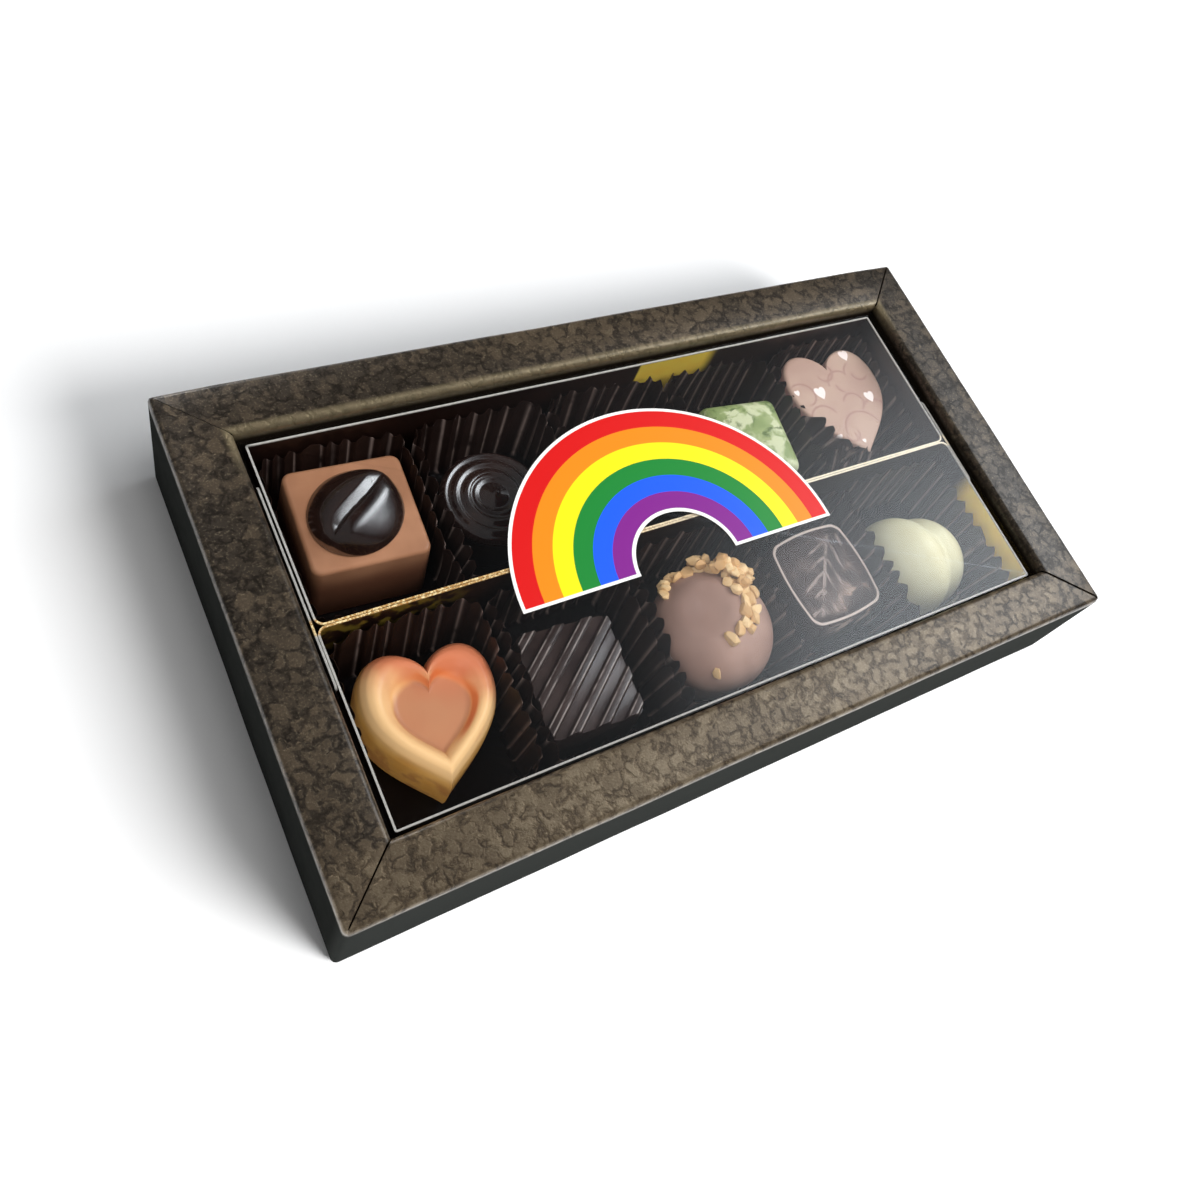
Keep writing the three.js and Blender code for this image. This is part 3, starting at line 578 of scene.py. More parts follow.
def paper_cup(seed, dips, bent):
    chance = np.random.default_rng(seed)
    lump = chance.uniform(-1, 1, PLEATS)
    deep = chance.uniform(0.6, 1.0, PLEATS)
    drop = chance.uniform(0, 1.0, PLEATS)
    lean_in = np.clip(chance.normal(0.25, 0.5, 11), 0, 1)
    phase = chance.uniform(0, 1)

    def by_pleat(values, around):
        spots = np.arange(len(values) + 1)
        return np.interp((around % 1) * len(values), spots, np.r_[values, values[:1]])

    def turn(around):
        return around * PLEATS + phase + 0.3 * by_pleat(lump, around)

    def nearness(around, middle, width):
        return np.clip(1 - abs((around - middle + 0.5) % 1 - 0.5) / width, 0, 1)

    def form(around, up):
        rising = np.clip((up - FLOOR_ROWS) / (1 - FLOOR_ROWS), 0, 1)
        flat = np.clip(up / FLOOR_ROWS, 0, 1)
        sway = around + 0.004 * rising * np.sin(2 * np.pi * (3 * around + phase))
        at, out = trace(rounded(FOOT_X, FOOT_Y, 3.2), sway)
        reach = rising[:, None] * np.array([FLARE_X, FLARE_Y]) * np.sign(at) * np.minimum(1, abs(at) / 9)
        pleat = knife(turn(around))
        depth = (0.42 + 0.3 * rising) * by_pleat(deep, around) * (pleat - 0.12) * flat**3
        crumple = -1.6 * rising**2.5 * by_pleat(lean_in, around) ** 1.5
        for middle, width, lean in bent:
            crumple = crumple - lean * rising**1.6 * nearness(around, middle, width) ** 1.3
        place_at = at * flat[:, None] + reach + out * (depth + crumple)[:, None]
        top = CUP_TOP - PINK * (1 - zigzag(turn(around) + 0.1)) / 2 - by_pleat(drop, around)
        for middle, width, fall in dips:
            top = top - fall * nearness(around, middle, width) ** 0.7
        return np.column_stack([place_at, CUP_FLOOR + (top - CUP_FLOOR) * rising])

    def fold(around, up):
        return np.clip(knife(turn(around)) - 0.62, 0, 1) / 0.38 * (up > FLOOR_ROWS)

    cup = wrapped(PLEATS * PER_PLEAT, 26, form, {"fold": fold})
    return modify(cup, "SOLIDIFY", thickness=SHEET, offset=0.0)


DIPS = {
    ("back", 3): [(0.02, 0.1, 2.0)],
    ("back", 4): [(0.33, 0.08, 3.5), (0.5, 0.1, -0.8)],
    ("front", 0): [(0.42, 0.2, 5.0), (0.62, 0.14, 4.0)],
    ("front", 4): [(0.3, 0.12, 2.5), (0.79, 0.16, -1.6)],
}
BENT = {("back", 4): [(0.5, 0.15, 9.0), (0.63, 0.09, 2.2)]}
TALL_BACK = (0.14, 0.15, -1.4)
cups = {}
for row, seed in (("back", 11), ("front", 16)):
    for column in range(5):
        where = (row, column)
        dips = [TALL_BACK, *DIPS.get(where, [])]
        cups[where] = paper_cup(seed + column, dips, BENT.get(where, []))
print("cups:", len(cups), "with", PLEATS, "pleats each")

# %% Dark glassine paper
paper, spot = material("dark_pleated_paper")
pleat_crest = spot.node("Attribute", {"attribute_name": "fold"}, out="Fac")
shade = mix(cloud(spot, 6.0, 4.0), tint(20, 12, 10), tint(48, 33, 28))
# The cup floors are painted darker than the walls as painted shade.
cup_floor_shaded = 1 - rise(axis(spot, "Z"), 1.6, 4.0)
# Pale lines along the pleat crests are painted highlights.
painted_crest_highlight = pleat_crest * rise(cloud(spot, 6.0, 3.0), 0.26, 0.52)
surface(
    spot,
    {
        "Base Color": mix(0.9 * painted_crest_highlight, mix(cup_floor_shaded, shade, tint(14, 10, 10)), tint(160, 140, 132)),
        "Roughness": 0.46 - 0.12 * pleat_crest + 0.15 * (cloud(spot, 4.0) - 0.5) + 0.2 * cup_floor_shaded,
        "Specular IOR Level": 0.35,
        "Coat Weight": 0.15 - 0.15 * cup_floor_shaded,
        "Coat Roughness": 0.2,
        "Normal": bump(cloud(spot, 4.0, 1.0, 0.5), 0.04, 0.3),
    },
)
for (row, column), cup in cups.items():
    at = ((column - 2) * CELL_X, ROW_Y if row == "back" else -ROW_Y, 0)
    place(cup, f"paper_cup_{row}_{column + 1}", f"cup_{row}_{column + 1}", paper, at, smooth=50)

# %% [markdown]
# ## Cast chocolate
#
# A praline leaves its mould with a satin skin that is never one flat colour: cocoa butter blooms in faint
# clouds and tiny pits break the gloss. One recipe with a light and a deep tone serves all of them, and a
# function of its own adds what one praline has besides. The shapes come in two ways: blocks are modelled by
# bevels, rounded ones are an outline that is drawn in while it rises, with its corners eased.


# %% Chocolate and moulded shapes
def chocolate(name, light, deep, rough, coat, size, pits, colour=None, mirror=1.5, polish=0.2):
    made, spot = material(name)
    bloom = cloud(spot, size, 4.0)
    skin = mix(rise(bloom, 0.3, 0.72), deep, light)
    if colour:
        skin = colour(spot, skin)
    relief = 0.3 * cloud(spot, 0.9, 2.0) + 1.5 * cloud(spot, 4.0, 1.0)
    values = {
        "Base Color": skin,
        "Roughness": rough + 0.14 * (bloom - 0.5),
        "Coat Weight": coat,
        "Coat Roughness": polish,
        "Coat IOR": mirror,
        "Normal": bump(relief, pits, 0.5),
    }
    surface(spot, values)
    return made


FINE = 900


def eased(steps, soft):
    corners = np.array(steps, float)
    run = np.r_[0, np.cumsum(np.linalg.norm(np.diff(corners, axis=0), axis=1))]
    fine = np.linspace(0, run[-1], FINE)
    line = np.column_stack([np.interp(fine, run, corners[:, k]) for k in (0, 1)])
    reach = max(1, int(FINE * soft / run[-1]))
    kernel = np.hanning(2 * reach + 3)
    wide = np.pad(line, ((reach + 1, reach + 1), (0, 0)), mode="edge")
    line = np.column_stack([np.convolve(wide[:, k], kernel / kernel.sum(), mode="valid") for k in (0, 1)])
    line[0], line[-1] = corners[0], corners[-1]
    return line


def moulded(outline, steps, soft=0.5, columns=144, rows=72):
    half = np.ptp(outline, axis=0).min() / 2
    line = eased([(half, steps[0][1]), *steps, (half, steps[-1][1])], soft)

    def form(around, up):
        drawn, height = (np.interp(up * (FINE - 1), np.arange(FINE), line[:, k]) for k in (0, 1))
        at, _ = trace(outline, around)
        return np.column_stack([at * (1 - drawn / half)[:, None], height])

    return wrapped(columns, rows, form)


def moulded_block(width, depth, height, corner, draft, edge):
    block = cuboid((width, depth, height), (0, 0, height / 2))
    pick(block, "EDGE", lambda at, along: abs(along.z) > 0.9)
    bpy.ops.mesh.bevel(offset=corner, segments=6, affect="EDGES")
    pick(block, "FACE", lambda at, out: out.z > 0.9)
    bpy.ops.transform.resize(value=(1 - 2 * draft / width, 1 - 2 * draft / depth, 1))
    pick(block, "EDGE", lambda at, along: at.z > height - 0.01)
    bpy.ops.mesh.bevel(offset=edge, segments=4, affect="EDGES")
    pick(block, "EDGE", lambda at, along: at.z < 0.01)
    bpy.ops.mesh.bevel(offset=0.4, segments=2, affect="EDGES")
    only(block)
    return block


STAND = 1.8


def cell(column, row, shift):
    return ((column - 2) * CELL_X + shift[0], row * ROW_Y + shift[1], STAND)


print("moulds ready; the first cell is at", cell(0, 1, (0, 0)))

# %% [markdown]
# ### Coffee block
#
# A square milk block with a soft top edge carries half a coffee bean in dark chocolate. The bean is half a
# ball whose points are pressed down beside an S-shaped line: one bank is gentle, the other is steep, and a
# low ridge next to it catches the light.

# %% Block and bean
def painted_shade_below(spot, skin):
    # The milk chocolate is painted darker towards the bottom as painted shade.
    low = 1 - rise(axis(spot, "Z") - STAND, 9.5, 18.0)
    return mix(0.75 * low, skin, tint(96, 56, 42))


milk = chocolate("milk_chocolate", tint(178, 128, 96), tint(155, 108, 79), 0.4, 0.12, 9.0, 0.05, painted_shade_below)
BLOCK_AT, BLOCK_TALL = cell(0, 1, (0.3, 3.6)), 18.2
block = moulded_block(25.4, 25.4, BLOCK_TALL, 2.2, 0.7, 0.9)
place(block, "coffee_block", "praline_coffee_block", milk, BLOCK_AT, -3)

LONG, WIDE, HIGH = 20.8, 18.4, 4.75
BANK, STEEP, GROOVE, RIDGE = 2.3, 0.6, 1.25, 0.4


def bean_form(around, up):
    lift, turn = np.pi * (1 - up), 2 * np.pi * around
    x, y = WIDE / 2 * np.sin(lift) * np.cos(turn), LONG / 2 * np.cos(lift)
    arched = np.sign(np.sin(turn)) * abs(np.sin(turn)) ** 1.85
    z = HIGH * arched * np.sqrt(np.maximum(0, 1 - abs(2 * y / LONG) ** 5))
    gap = x - 0.4 * np.sin(2 * np.pi * y / (1.1 * LONG))
    ends = np.clip(1.7 - 2.4 * abs(2 * y / LONG) ** 2.6, 0, 1)
    bank = np.clip(1 + gap / BANK, 0, 1) * np.clip(1 - gap / STEEP, 0, 1)
    ridge = RIDGE * np.exp(-(((gap - 2.9) / 1.8) ** 2))
    z = np.where(z > 0, z + (ridge - GROOVE * bank) * ends * np.clip(z / 2, 0, 1), 0.0)
    return np.column_stack([x, y, z])


bean = modify(wrapped(200, 72, bean_form), "SUBSURF", levels=1, render_levels=1)
cocoa = tint(40, 24, 19)
dark = chocolate("dark_chocolate", cocoa, tint(22, 11, 9), 0.4, 1.0, 8.0, 0.02, mirror=2.4, polish=0.12)
BEAN_AT = Vector(BLOCK_AT) + Vector((-0.3, -0.2, BLOCK_TALL + 0.28))
place(bean, "bean", "coffee_bean", dark, BEAN_AT, -50)

# %% [markdown]
# ### Swirl and fluted round
#
# The swirl is a piped strand wound flat round a small tip in a bowl. Its height is a spiral wave, one crest
# for each turn of the strand. The fluted round is hidden by the sticker, and gets an outline that waves.


# %% Swirl and fluted round
SWIRL_R, SWIRL_TALL, SWIRL_SIDE = 11.85, 14.2, 11.7
STRAND, STRAND_DEEP = 2.5, 0.45


def swirl_form(around, up):
    angle = 2 * np.pi * around
    under = np.clip(up / 0.1, 0, 1)
    side = np.clip((up - 0.1) / 0.16, 0, 1)
    top = np.clip((up - 0.26) / 0.74, 0, 1)
    radius = SWIRL_R * np.where(up < 0.26, under * (1 - 0.08 * (1 - side)), 1 - top)
    strand = 0.5 + 0.5 * np.cos(2 * np.pi * (radius / STRAND - around))
    edge = np.clip((SWIRL_R - radius) / 1.4, 0, 1)
    wound = np.clip((radius - 4.2) / 1.2, 0, 1)
    fall = (radius / SWIRL_R) ** 2 + 1.5 * (1 - edge) ** 2
    crest = SWIRL_TALL - fall - STRAND_DEEP * (1 - strand) * edge * wound
    bowl = -0.9 * np.clip((5.4 - radius) / 2.0, 0, 1) + 1.1 * np.clip(1 - radius / 3.2, 0, 1)
    tip = 0.5 * np.exp(-((radius / 0.7) ** 2))
    height = np.where(up < 0.26, SWIRL_SIDE * side, crest + bowl + tip)
    return np.column_stack([radius * np.cos(angle), radius * np.sin(angle), height])


swirl = wrapped(120, 110, swirl_form)
place(swirl, "swirl", "praline_swirl", dark, cell(1, 1, (-1.4, 2)), smooth=80)
turn = np.linspace(0, 2 * np.pi, 280, endpoint=False)
flutes = 12.5 - 0.6 * (1 + np.cos(14 * turn))
wavy = np.column_stack([flutes * np.cos(turn), flutes * np.sin(turn)])
fluted = moulded(wavy, [(0.4, 0), (0, 0.6), (1.0, 14.0), (1.8, 15.8), (3.2, 16.5), (6, 16.2)], 0.5, 280)
place(fluted, "fluted_round", "praline_fluted", milk, cell(2, 1, (0, 0)), smooth=60)

# %% [markdown]
# ### Green cushion and pink heart
#
# The cushion is white chocolate marbled with green: two clouds, each bent by a third, give the veins. The
# flat heart carries a transfer print of thin curls and tiny pale hearts, so it's drawn in the shader: each
# curl is a thin ring cut by an angle, and each little heart is the sum of simple curves.


# %% Cushion
def marbled(spot, skin):
    pulled = swayed(spot, 9.0, 0.014)
    vein = cloud(pulled, 6.0, 4.0)
    paler = mix(rise(vein, 0.48, 0.6), skin, tint(202, 207, 168))
    return mix(rise(cloud(pulled, 4.0, 3.0), 0.56, 0.7), paler, tint(94, 112, 64))


marble = chocolate("marbled_green", tint(160, 172, 118), tint(129, 147, 90), 0.42, 0.1, 6.0, 0.05, marbled)
swelling = [(0.5, 0), (0, 0.6), (0.4, 8), (1.2, 15.6), (1.9, 16.9), (3.2, 17.6), (7, 17.95)]
cushion = moulded(rounded(11.75, 11.75, 2.2), swelling, 0.6)
place(cushion, "green_cushion", "praline_green", marble, cell(3, 1, (0.8, -2)), -6, smooth=60)


# %% Pink heart
def heart(width, length):
    path = [
        ((0, 0.62), (-0.16, 1.02), (-1, 1.18), (-1, 0.3)),
        ((-1, 0.3), (-1, -0.32), (-0.3, -0.7), (0, -1)),
        ((0, -1), (0.3, -0.7), (1, -0.32), (1, 0.3)),
        ((1, 0.3), (1, 1.18), (0.16, 1.02), (0, 0.62)),
    ]
    t = np.linspace(0, 1, 40, endpoint=False)[:, None]
    s = 1 - t
    curves = [s**3 * a + 3 * t * s**2 * b + 3 * t**2 * s * c + t**3 * d for a, b, c, d in np.array(path)]
    points = np.vstack(curves)
    middle = (points.max(0) + points.min(0)) / 2
    return (points - middle) * np.array([width, length]) / np.ptp(points, axis=0)


PINK_AT = cell(4, 1, (0, 0.885))
CURLS = [
    (-10.6, 4.2, 3.4, 0.4),
    (-1.4, 9.6, 3.0, 5.4),
    (3.0, 5.4, 3.4, 2.6),
    (3.4, -1.2, 2.6, 1.0),
    (-7.6, -3.7, 3.6, 2.2),
    (2.0, -9.4, 5.2, 1.9),
    (9.4, 7.6, 3.0, 3.8),
    (8.6, -5.2, 3.4, 1.0),
    (-3.4, -9.6, 2.6, 4.8),
]
LITTLE = [
    (-5.3, 3.6, 1.7),
    (8.8, -0.8, 1.5),
    (8.4, 13.0, 1.5),
    (-12.2, 5.4, 0.8),
    (-6.9, -9.6, 0.7),
    (-0.6, -12.5, 0.6),
]


def printed(spot, skin):
    x, y = axis(spot, "X") - PINK_AT[0], axis(spot, "Y") - PINK_AT[1]
    line, pale = None, None
    for at_x, at_y, radius, open_at in CURLS:
        off_x, off_y = x - at_x, y - at_y
        away = (off_x * off_x + off_y * off_y) ** 0.5
        angle = off_x.maths("ARCTAN2", off_y, off_x)
        grown = radius + 0.35 * angle
        gate = rise(off_x * math.cos(open_at) + off_y * math.sin(open_at), -0.6 * radius, 0.1 * radius)
        ring = (1 - rise(abs(away - grown), 0.14, 0.44)) * gate
        line = ring if line is None else most(line, ring)
    for at_x, at_y, size in LITTLE:
        off_x, off_y = (x - at_x) / size, (y - at_y) / size
        lobe = off_y - 0.75 * (abs(off_x) + 0.02) ** 0.6
        little = 1 - rise(off_x * off_x + lobe * lobe, 0.75, 1.15)
        pale = little if pale is None else most(pale, little)
    side = 1 - rise(axis(spot, "Z") - STAND, 15.6, 17.0)
    warm = mix(0.7 * side, skin, tint(196, 138, 130))
    return mix(pale, mix(0.5 * line, warm, tint(148, 104, 98)), tint(246, 230, 224))


rose = tint(188, 159, 142)
blush = chocolate("pink_transfer", rose, tint(174, 142, 127), 0.45, 0.08, 10.0, 0.04, printed)
slab = [(1.2, 0), (0, 1.3), (0, 16.7), (0.14, 17.2), (0.5, 17.35)]
flat_heart = moulded(heart(28.5, 31.9), slab, 0.2, 200)
place(flat_heart, "pink_heart", "praline_pink_heart", blush, PINK_AT, -3, smooth=50)

# %% [markdown]
# ### Bordered heart
#
# This heart has a rounded border round a sunk middle. It was cast in yellow caramel chocolate and sprayed
# with orange-red colour over its right and back, so the shader fades from one to the other with soft noise.

# %% Caramel heart
CARAMEL_AT = cell(0, -1, (-0.1, 0))


def sprayed(spot, skin):
    x, y, z = axis(spot, "X") - CARAMEL_AT[0], axis(spot, "Y") - CARAMEL_AT[1], axis(spot, "Z") - STAND
    uneven = 6.0 * (cloud(spot, 6.0, 3.0) - 0.5)
    upper = rise(z, 12.5, 16.4)
    off = (x * x + y * y) ** 0.5
    sunk = (1 - rise(z, 14.6, 15.4)) * (1 - rise(off, 7.4, 9.2)) * rise(z, 13.0, 14.2)
    red = rise(0.45 * x + 0.9 * y + uneven, 1.0, 10.0) * rise(z, 11.0, 15.5)
    smoke = (1 - rise(z + 1.2 * uneven, 8.0, 15.5)) * rise(cloud(spot, 5.0, 3.0, 0.6), 0.44, 0.6)
    side = mix(0.6 * smoke, skin, tint(160, 84, 42))
    face = mix(upper, side, tint(238, 194, 138))
    floor = mix(0.85 * sunk, face, tint(172, 112, 86))
    blushed = mix(0.8 * red * (1 - 0.6 * sunk), floor, tint(190, 84, 56))
    inner = (1 - rise(z, 16.2, 17.0)) * (1 - rise(off, 8.4, 9.8)) * rise(z, 13.0, 14.6) * (1 - sunk)
    return mix(0.95 * inner * rise(x + 0.3 * y, -2.0, 4.0), blushed, tint(204, 108, 58))


toffee = tint(240, 186, 104)
caramel = chocolate("airbrushed_caramel", toffee, tint(214, 152, 72), 0.36, 0.2, 5.0, 0.05, sprayed)
flank_up = [(1.5, 0), (0.6, 1.2), (0.1, 4), (0, 8.5), (0.2, 12), (0.8, 14.8)]
border = [(1.9, 16.7), (3.1, 17.45), (4.2, 17.2), (5.2, 16.3), (6.3, 14.8)]
sunk_floor = [(7.2, 14.4), (9.5, 14.4)]
bordered = moulded(heart(27.5, 29.4), flank_up + border + sunk_floor, 0.6, 200, 110)
place(bordered, "caramel_heart", "praline_caramel_heart", caramel, CARAMEL_AT, -8, smooth=70)

# %% [markdown]
# ### Ridged block
#
# Slanting ridges run across the top and end flush with the sides, so it is the grooves that are modelled:
# one tapered bar is shaped from a cube, copied side by side, turned, and cut away from a block with a
# Boolean. A fine bevel then catches the light on both edges of each ridge, and pale lines are painted along
# both edges as painted highlights.

# %% Grooves across a block
PITCH, SLANT = 4.5, -46
RIDGED_AT, RIDGED_TURN = cell(1, -1, (-1.6, -2.4)), -4
groove = cuboid((2.0, 60, 2.3), (0, 0, 15.15))
pick(groove, "FACE", lambda at, out: out.z > 0.9)
bpy.ops.transform.resize(value=(1.76, 1, 1))
modify(
    groove,
    "ARRAY",
    count=10,
    use_relative_offset=False,
    use_constant_offset=True,
    constant_offset_displace=(PITCH, 0, 0),
)
only(groove)
groove.location.x = -4.5 * PITCH
bpy.ops.object.transform_apply()
groove.rotation_euler.z = math.radians(SLANT)
bpy.ops.object.transform_apply()
ridged = moulded_block(22.6, 25, 15.45, 2.0, 0.8, 0.15)
modify(ridged, "BOOLEAN", operation="DIFFERENCE", object=groove, solver="EXACT")
bpy.data.objects.remove(groove)
modify(ridged, "BEVEL", width=0.16, segments=2, limit_method="ANGLE", angle_limit=math.radians(28))


# Pale lines along both edges of each ridge top are painted highlights.
def painted_ridge_highlights(spot, skin):
    across = math.radians(SLANT + RIDGED_TURN)
    x, y = axis(spot, "X") - RIDGED_AT[0], axis(spot, "Y") - RIDGED_AT[1]
    turns = (x * math.cos(across) + y * math.sin(across)) / PITCH + 100.5
    from_crest = abs(turns.maths("FRACT", turns) - 0.5) * PITCH
    ridge_edge_highlight = (1 - rise(abs(from_crest - 0.7), 0.1, 0.26)) * rise(axis(spot, "Z") - STAND, 14.7, 15.2)
    return mix(0.55 * ridge_edge_highlight * rise(cloud(spot, 5.0), 0.3, 0.55), skin, tint(170, 158, 152))


satin = chocolate("satin_dark", tint(56, 44, 41), tint(38, 28, 26), 0.4, 0.35, 6.0, 0.03, painted_ridge_highlights, mirror=1.7)
place(ridged, "ridged_block", "praline_ridged", satin, RIDGED_AT, RIDGED_TURN)

# %% [markdown]
# ### Nut dome
#
# A milk dome with a hollow in its top wears a horseshoe of chopped roasted nuts round the hollow and has
# one crumb on its flank. A chip starts as a small ball that is cut flat on six sides; four such chips are
# copied many times, each turned and sized by chance and pressed a little into the dome or heaped on others,
# and joined into one crust.

# %% Dome and chips
HOLLOW, HOLLOW_R, HOLLOW_DEEP = np.array([-2.4, 2.9]), 8, 1.8
DOME_R, DOME_RISE, DOME_BELT, DOME_FOOT = 14.55, 8.9, 12.4, 12.0
UNDERCUT = np.radians(104)


def dome_point(down, around, grow=0.0):
    flat = (DOME_R + grow) * np.sin(np.minimum(down, np.pi)) ** 0.8
    plan = np.column_stack([flat * np.cos(around), flat * np.sin(around)])
    from_hollow = np.linalg.norm(plan - HOLLOW, axis=1) / HOLLOW_R
    sunk = HOLLOW_DEEP * np.maximum(0, 1 - from_hollow**2) ** 2
    return np.column_stack([plan, DOME_BELT + (DOME_RISE + grow) * np.cos(down) - sunk])


def dome_form(around, up):
    angle = 2 * np.pi * around
    foot = np.clip(up / 0.16, 0, 1)
    down = UNDERCUT * (1 - np.clip((up - 0.32) / 0.68, 0, 1))
    upper = dome_point(down, angle)
    low = dome_point(np.full(1, UNDERCUT), np.zeros(1))[0]
    climb = np.clip((up - 0.16) / 0.16, 0, 1)
    widened = DOME_FOOT + (low[0] - DOME_FOOT) * np.sin(climb * np.pi / 2)
    radius = np.where(up < 0.16, DOME_FOOT * foot, widened)
    lower = np.column_stack([radius * np.cos(angle), radius * np.sin(angle), low[2] * climb])
    return np.where((up < 0.32)[:, None], lower, upper)


dome = wrapped(96, 90, dome_form)
DOME_AT = cell(2, -1, (0, -2.6))


# The dome is painted darker towards the left and the back as painted shade.
def painted_shade_left(spot, skin):
    x, y = axis(spot, "X") - DOME_AT[0], axis(spot, "Y") - DOME_AT[1]
    return mix(0.5 * rise(0.5 * y - x, -2.0, 12.0), skin, tint(96, 72, 64))


dusky = chocolate("milk_dome", tint(170, 138, 124), tint(147, 116, 103), 0.5, 0.05, 9.0, 0.05, painted_shade_left)
place(dome, "nut_dome", "praline_nut_dome", dusky, DOME_AT, smooth=60)

chips = []
chance = np.random.default_rng(5)
for _ in range(4):
    only()
    bpy.ops.mesh.primitive_ico_sphere_add(subdivisions=1, radius=1)
    chip = bpy.context.object
    bpy.ops.object.mode_set(mode="EDIT")
    for reach in (0.4, 0.45, 0.55, 0.6, 0.65, 0.7):
        broken = Vector(chance.normal(0, 1, 3)).normalized()
        bpy.ops.mesh.select_all(action="SELECT")
        bpy.ops.mesh.bisect(plane_co=broken * reach, plane_no=broken, use_fill=True, clear_outer=True)
    bpy.ops.object.mode_set(mode="OBJECT")
    modify(chip, "BEVEL", width=0.1, segments=2, limit_method="ANGLE", angle_limit=math.radians(20))
    chips.append(chip)
print("chip faces:", [len(chip.data.polygons) for chip in chips])

# %% Scatter the nuts
def scatter_chip(down, around, size, sink):
    source = chips[chance.integers(4)]
    copy = bpy.data.objects.new("chip", source.data.copy())
    bpy.context.collection.objects.link(copy)
    stretch = np.array([1.3, 1.05, 1.0]) * size * chance.uniform(0.85, 1.15, 3)
    spin = Matrix.Rotation(chance.uniform(0, 6.28), 4, "Z") @ Matrix.Rotation(chance.normal(0, 0.5), 4, "X")
    tip = Matrix.Rotation(around, 4, "Z") @ Matrix.Rotation(0.8 * down, 4, "Y")
    at = dome_point(np.array([down]), np.array([around]), sink)[0]
    copy.data.transform(Matrix.Translation(Vector(at)) @ tip @ spin @ Matrix.Diagonal((*stretch, 1)))
    return copy


def round_hollow(ring, around):
    x, y = HOLLOW + ring * np.array([math.cos(around), math.sin(around)])
    share = min(math.hypot(x, y) / 15.1, 0.97)
    return math.asin(share**1.25), math.atan2(y, x)


made = []
LANES = ((8.5, -82, 50), (10.4, -52, 136), (12.2, 0, 124), (13.8, 12, 80))
for ring, first, last in LANES:
    for around in np.arange(math.radians(first), math.radians(last), 2.8 / ring):
        down, turn = round_hollow(ring + chance.normal(0, 0.35), around + chance.normal(0, 0.05))
        made.append(scatter_chip(down, turn, chance.uniform(1.3, 1.75), 0.5))
for _ in range(20):
    down, turn = round_hollow(chance.uniform(9.5, 14.0), math.radians(chance.uniform(10, 75)))
    made.append(scatter_chip(down, turn, 1.45, 2.2))
for _ in range(9):
    down, turn = np.radians(chance.uniform(34, 45)), np.radians(chance.uniform(45, 80))
    made.append(scatter_chip(down, turn, 1.6, chance.uniform(2.6, 4.0)))
only(made[0])
for chip in made:
    chip.select_set(True)
bpy.ops.object.join()
crust = bpy.context.object
crumb = scatter_chip(math.radians(54), math.radians(-121), 1.15, 0.5)
for chip in chips:
    bpy.data.objects.remove(chip)
print("crust of", len(made), "chips")


# %% Roasted nut
def roasted(spot, skin):
    each = spot.node("NewGeometry", out="Random Per Island")
    return mix(0.75 * each, skin, tint(188, 138, 84))


nut = chocolate("roasted_nut", tint(240, 210, 163), tint(226, 191, 138), 0.55, 0.05, 2.0, 0.12, roasted)
place(crust, "nuts", "nut_crust", nut, DOME_AT, smooth=28)
place(crumb, "crumb", "nut_crumb", nut, DOME_AT, smooth=28)

# %% [markdown]
# ### Pillow and shell
#
# The pillow bows out between its corners, and a thin raised line frames its sunk top, where the mould left
# the print of a leaf. The frame line and the leaf's veins are painted pale as painted highlights, and pale
# patches on the upper right-front flank are painted sheen. The shell is two rounded lobes that meet in a
# soft fold: from a point inside both, the longer of the two reaches gives the surface.

# %% Pillow
PILLOW_AT = cell(3, -1, (1.8, 0.2))


def bowed(half_x, half_y, radius, bulge):
    at, out = trace(rounded(half_x, half_y, radius), np.linspace(0, 1, 240, endpoint=False))
    swell = np.cos(np.clip(abs(at / np.array([half_x, half_y])).min(1), 0, 1) * np.pi / 2)
    return at + out * (bulge * swell)[:, None]


def leafy(spot, skin):
    x, y, z = axis(spot, "X") - PILLOW_AT[0], axis(spot, "Y") - PILLOW_AT[1], axis(spot, "Z") - STAND
    # The raised frame line is painted pale as a painted highlight.
    frame_line_highlight = rise(z, 14.85, 15.0)
    inner = rise(z, 12.5, 13.5) * (1 - rise(abs(x), 8.6, 9.4)) * (1 - rise(abs(y), 9.1, 9.9))
    # Pale patches on the upper right-front flank are painted sheen.
    painted_sheen = rise(cloud(spot, 5.0, 3.0), 0.48, 0.56) * rise(x - y, 4.0, 12.0)
    painted_flank_sheen = (1 - rise(z, 13.6, 14.6)) * rise(z, 8.0, 12.0) * painted_sheen
    # The leaf's veins are painted pale as painted highlights.
    along, across = 0.55 * x + 0.84 * y, 0.84 * x - 0.55 * y
    ribs = (abs(across) * 0.8 + along * 0.55 + 1.2 * cloud(spot, 5.0)) / 2.6
    rib = 1 - rise(abs(ribs.maths("FRACT", ribs) - 0.5), 0.05, 0.2)
    spine = 1 - rise(abs(across), 0.25, 0.6)
    vein = most(rib * (1 - rise(abs(across), 3.5, 5.5)), spine) * inner * rise(cloud(spot, 4.0), 0.35, 0.6)
    glaze = mix(inner * 0.5, skin, tint(58, 46, 42))
    cloudy = mix(inner * rise(cloud(spot, 6.0, 3.0), 0.45, 0.62), glaze, tint(86, 73, 68))
    marked = mix(0.9 * painted_flank_sheen, mix(0.65 * vein, cloudy, tint(168, 152, 144)), tint(176, 152, 138))
    return mix(0.85 * frame_line_highlight, marked, tint(206, 190, 180))


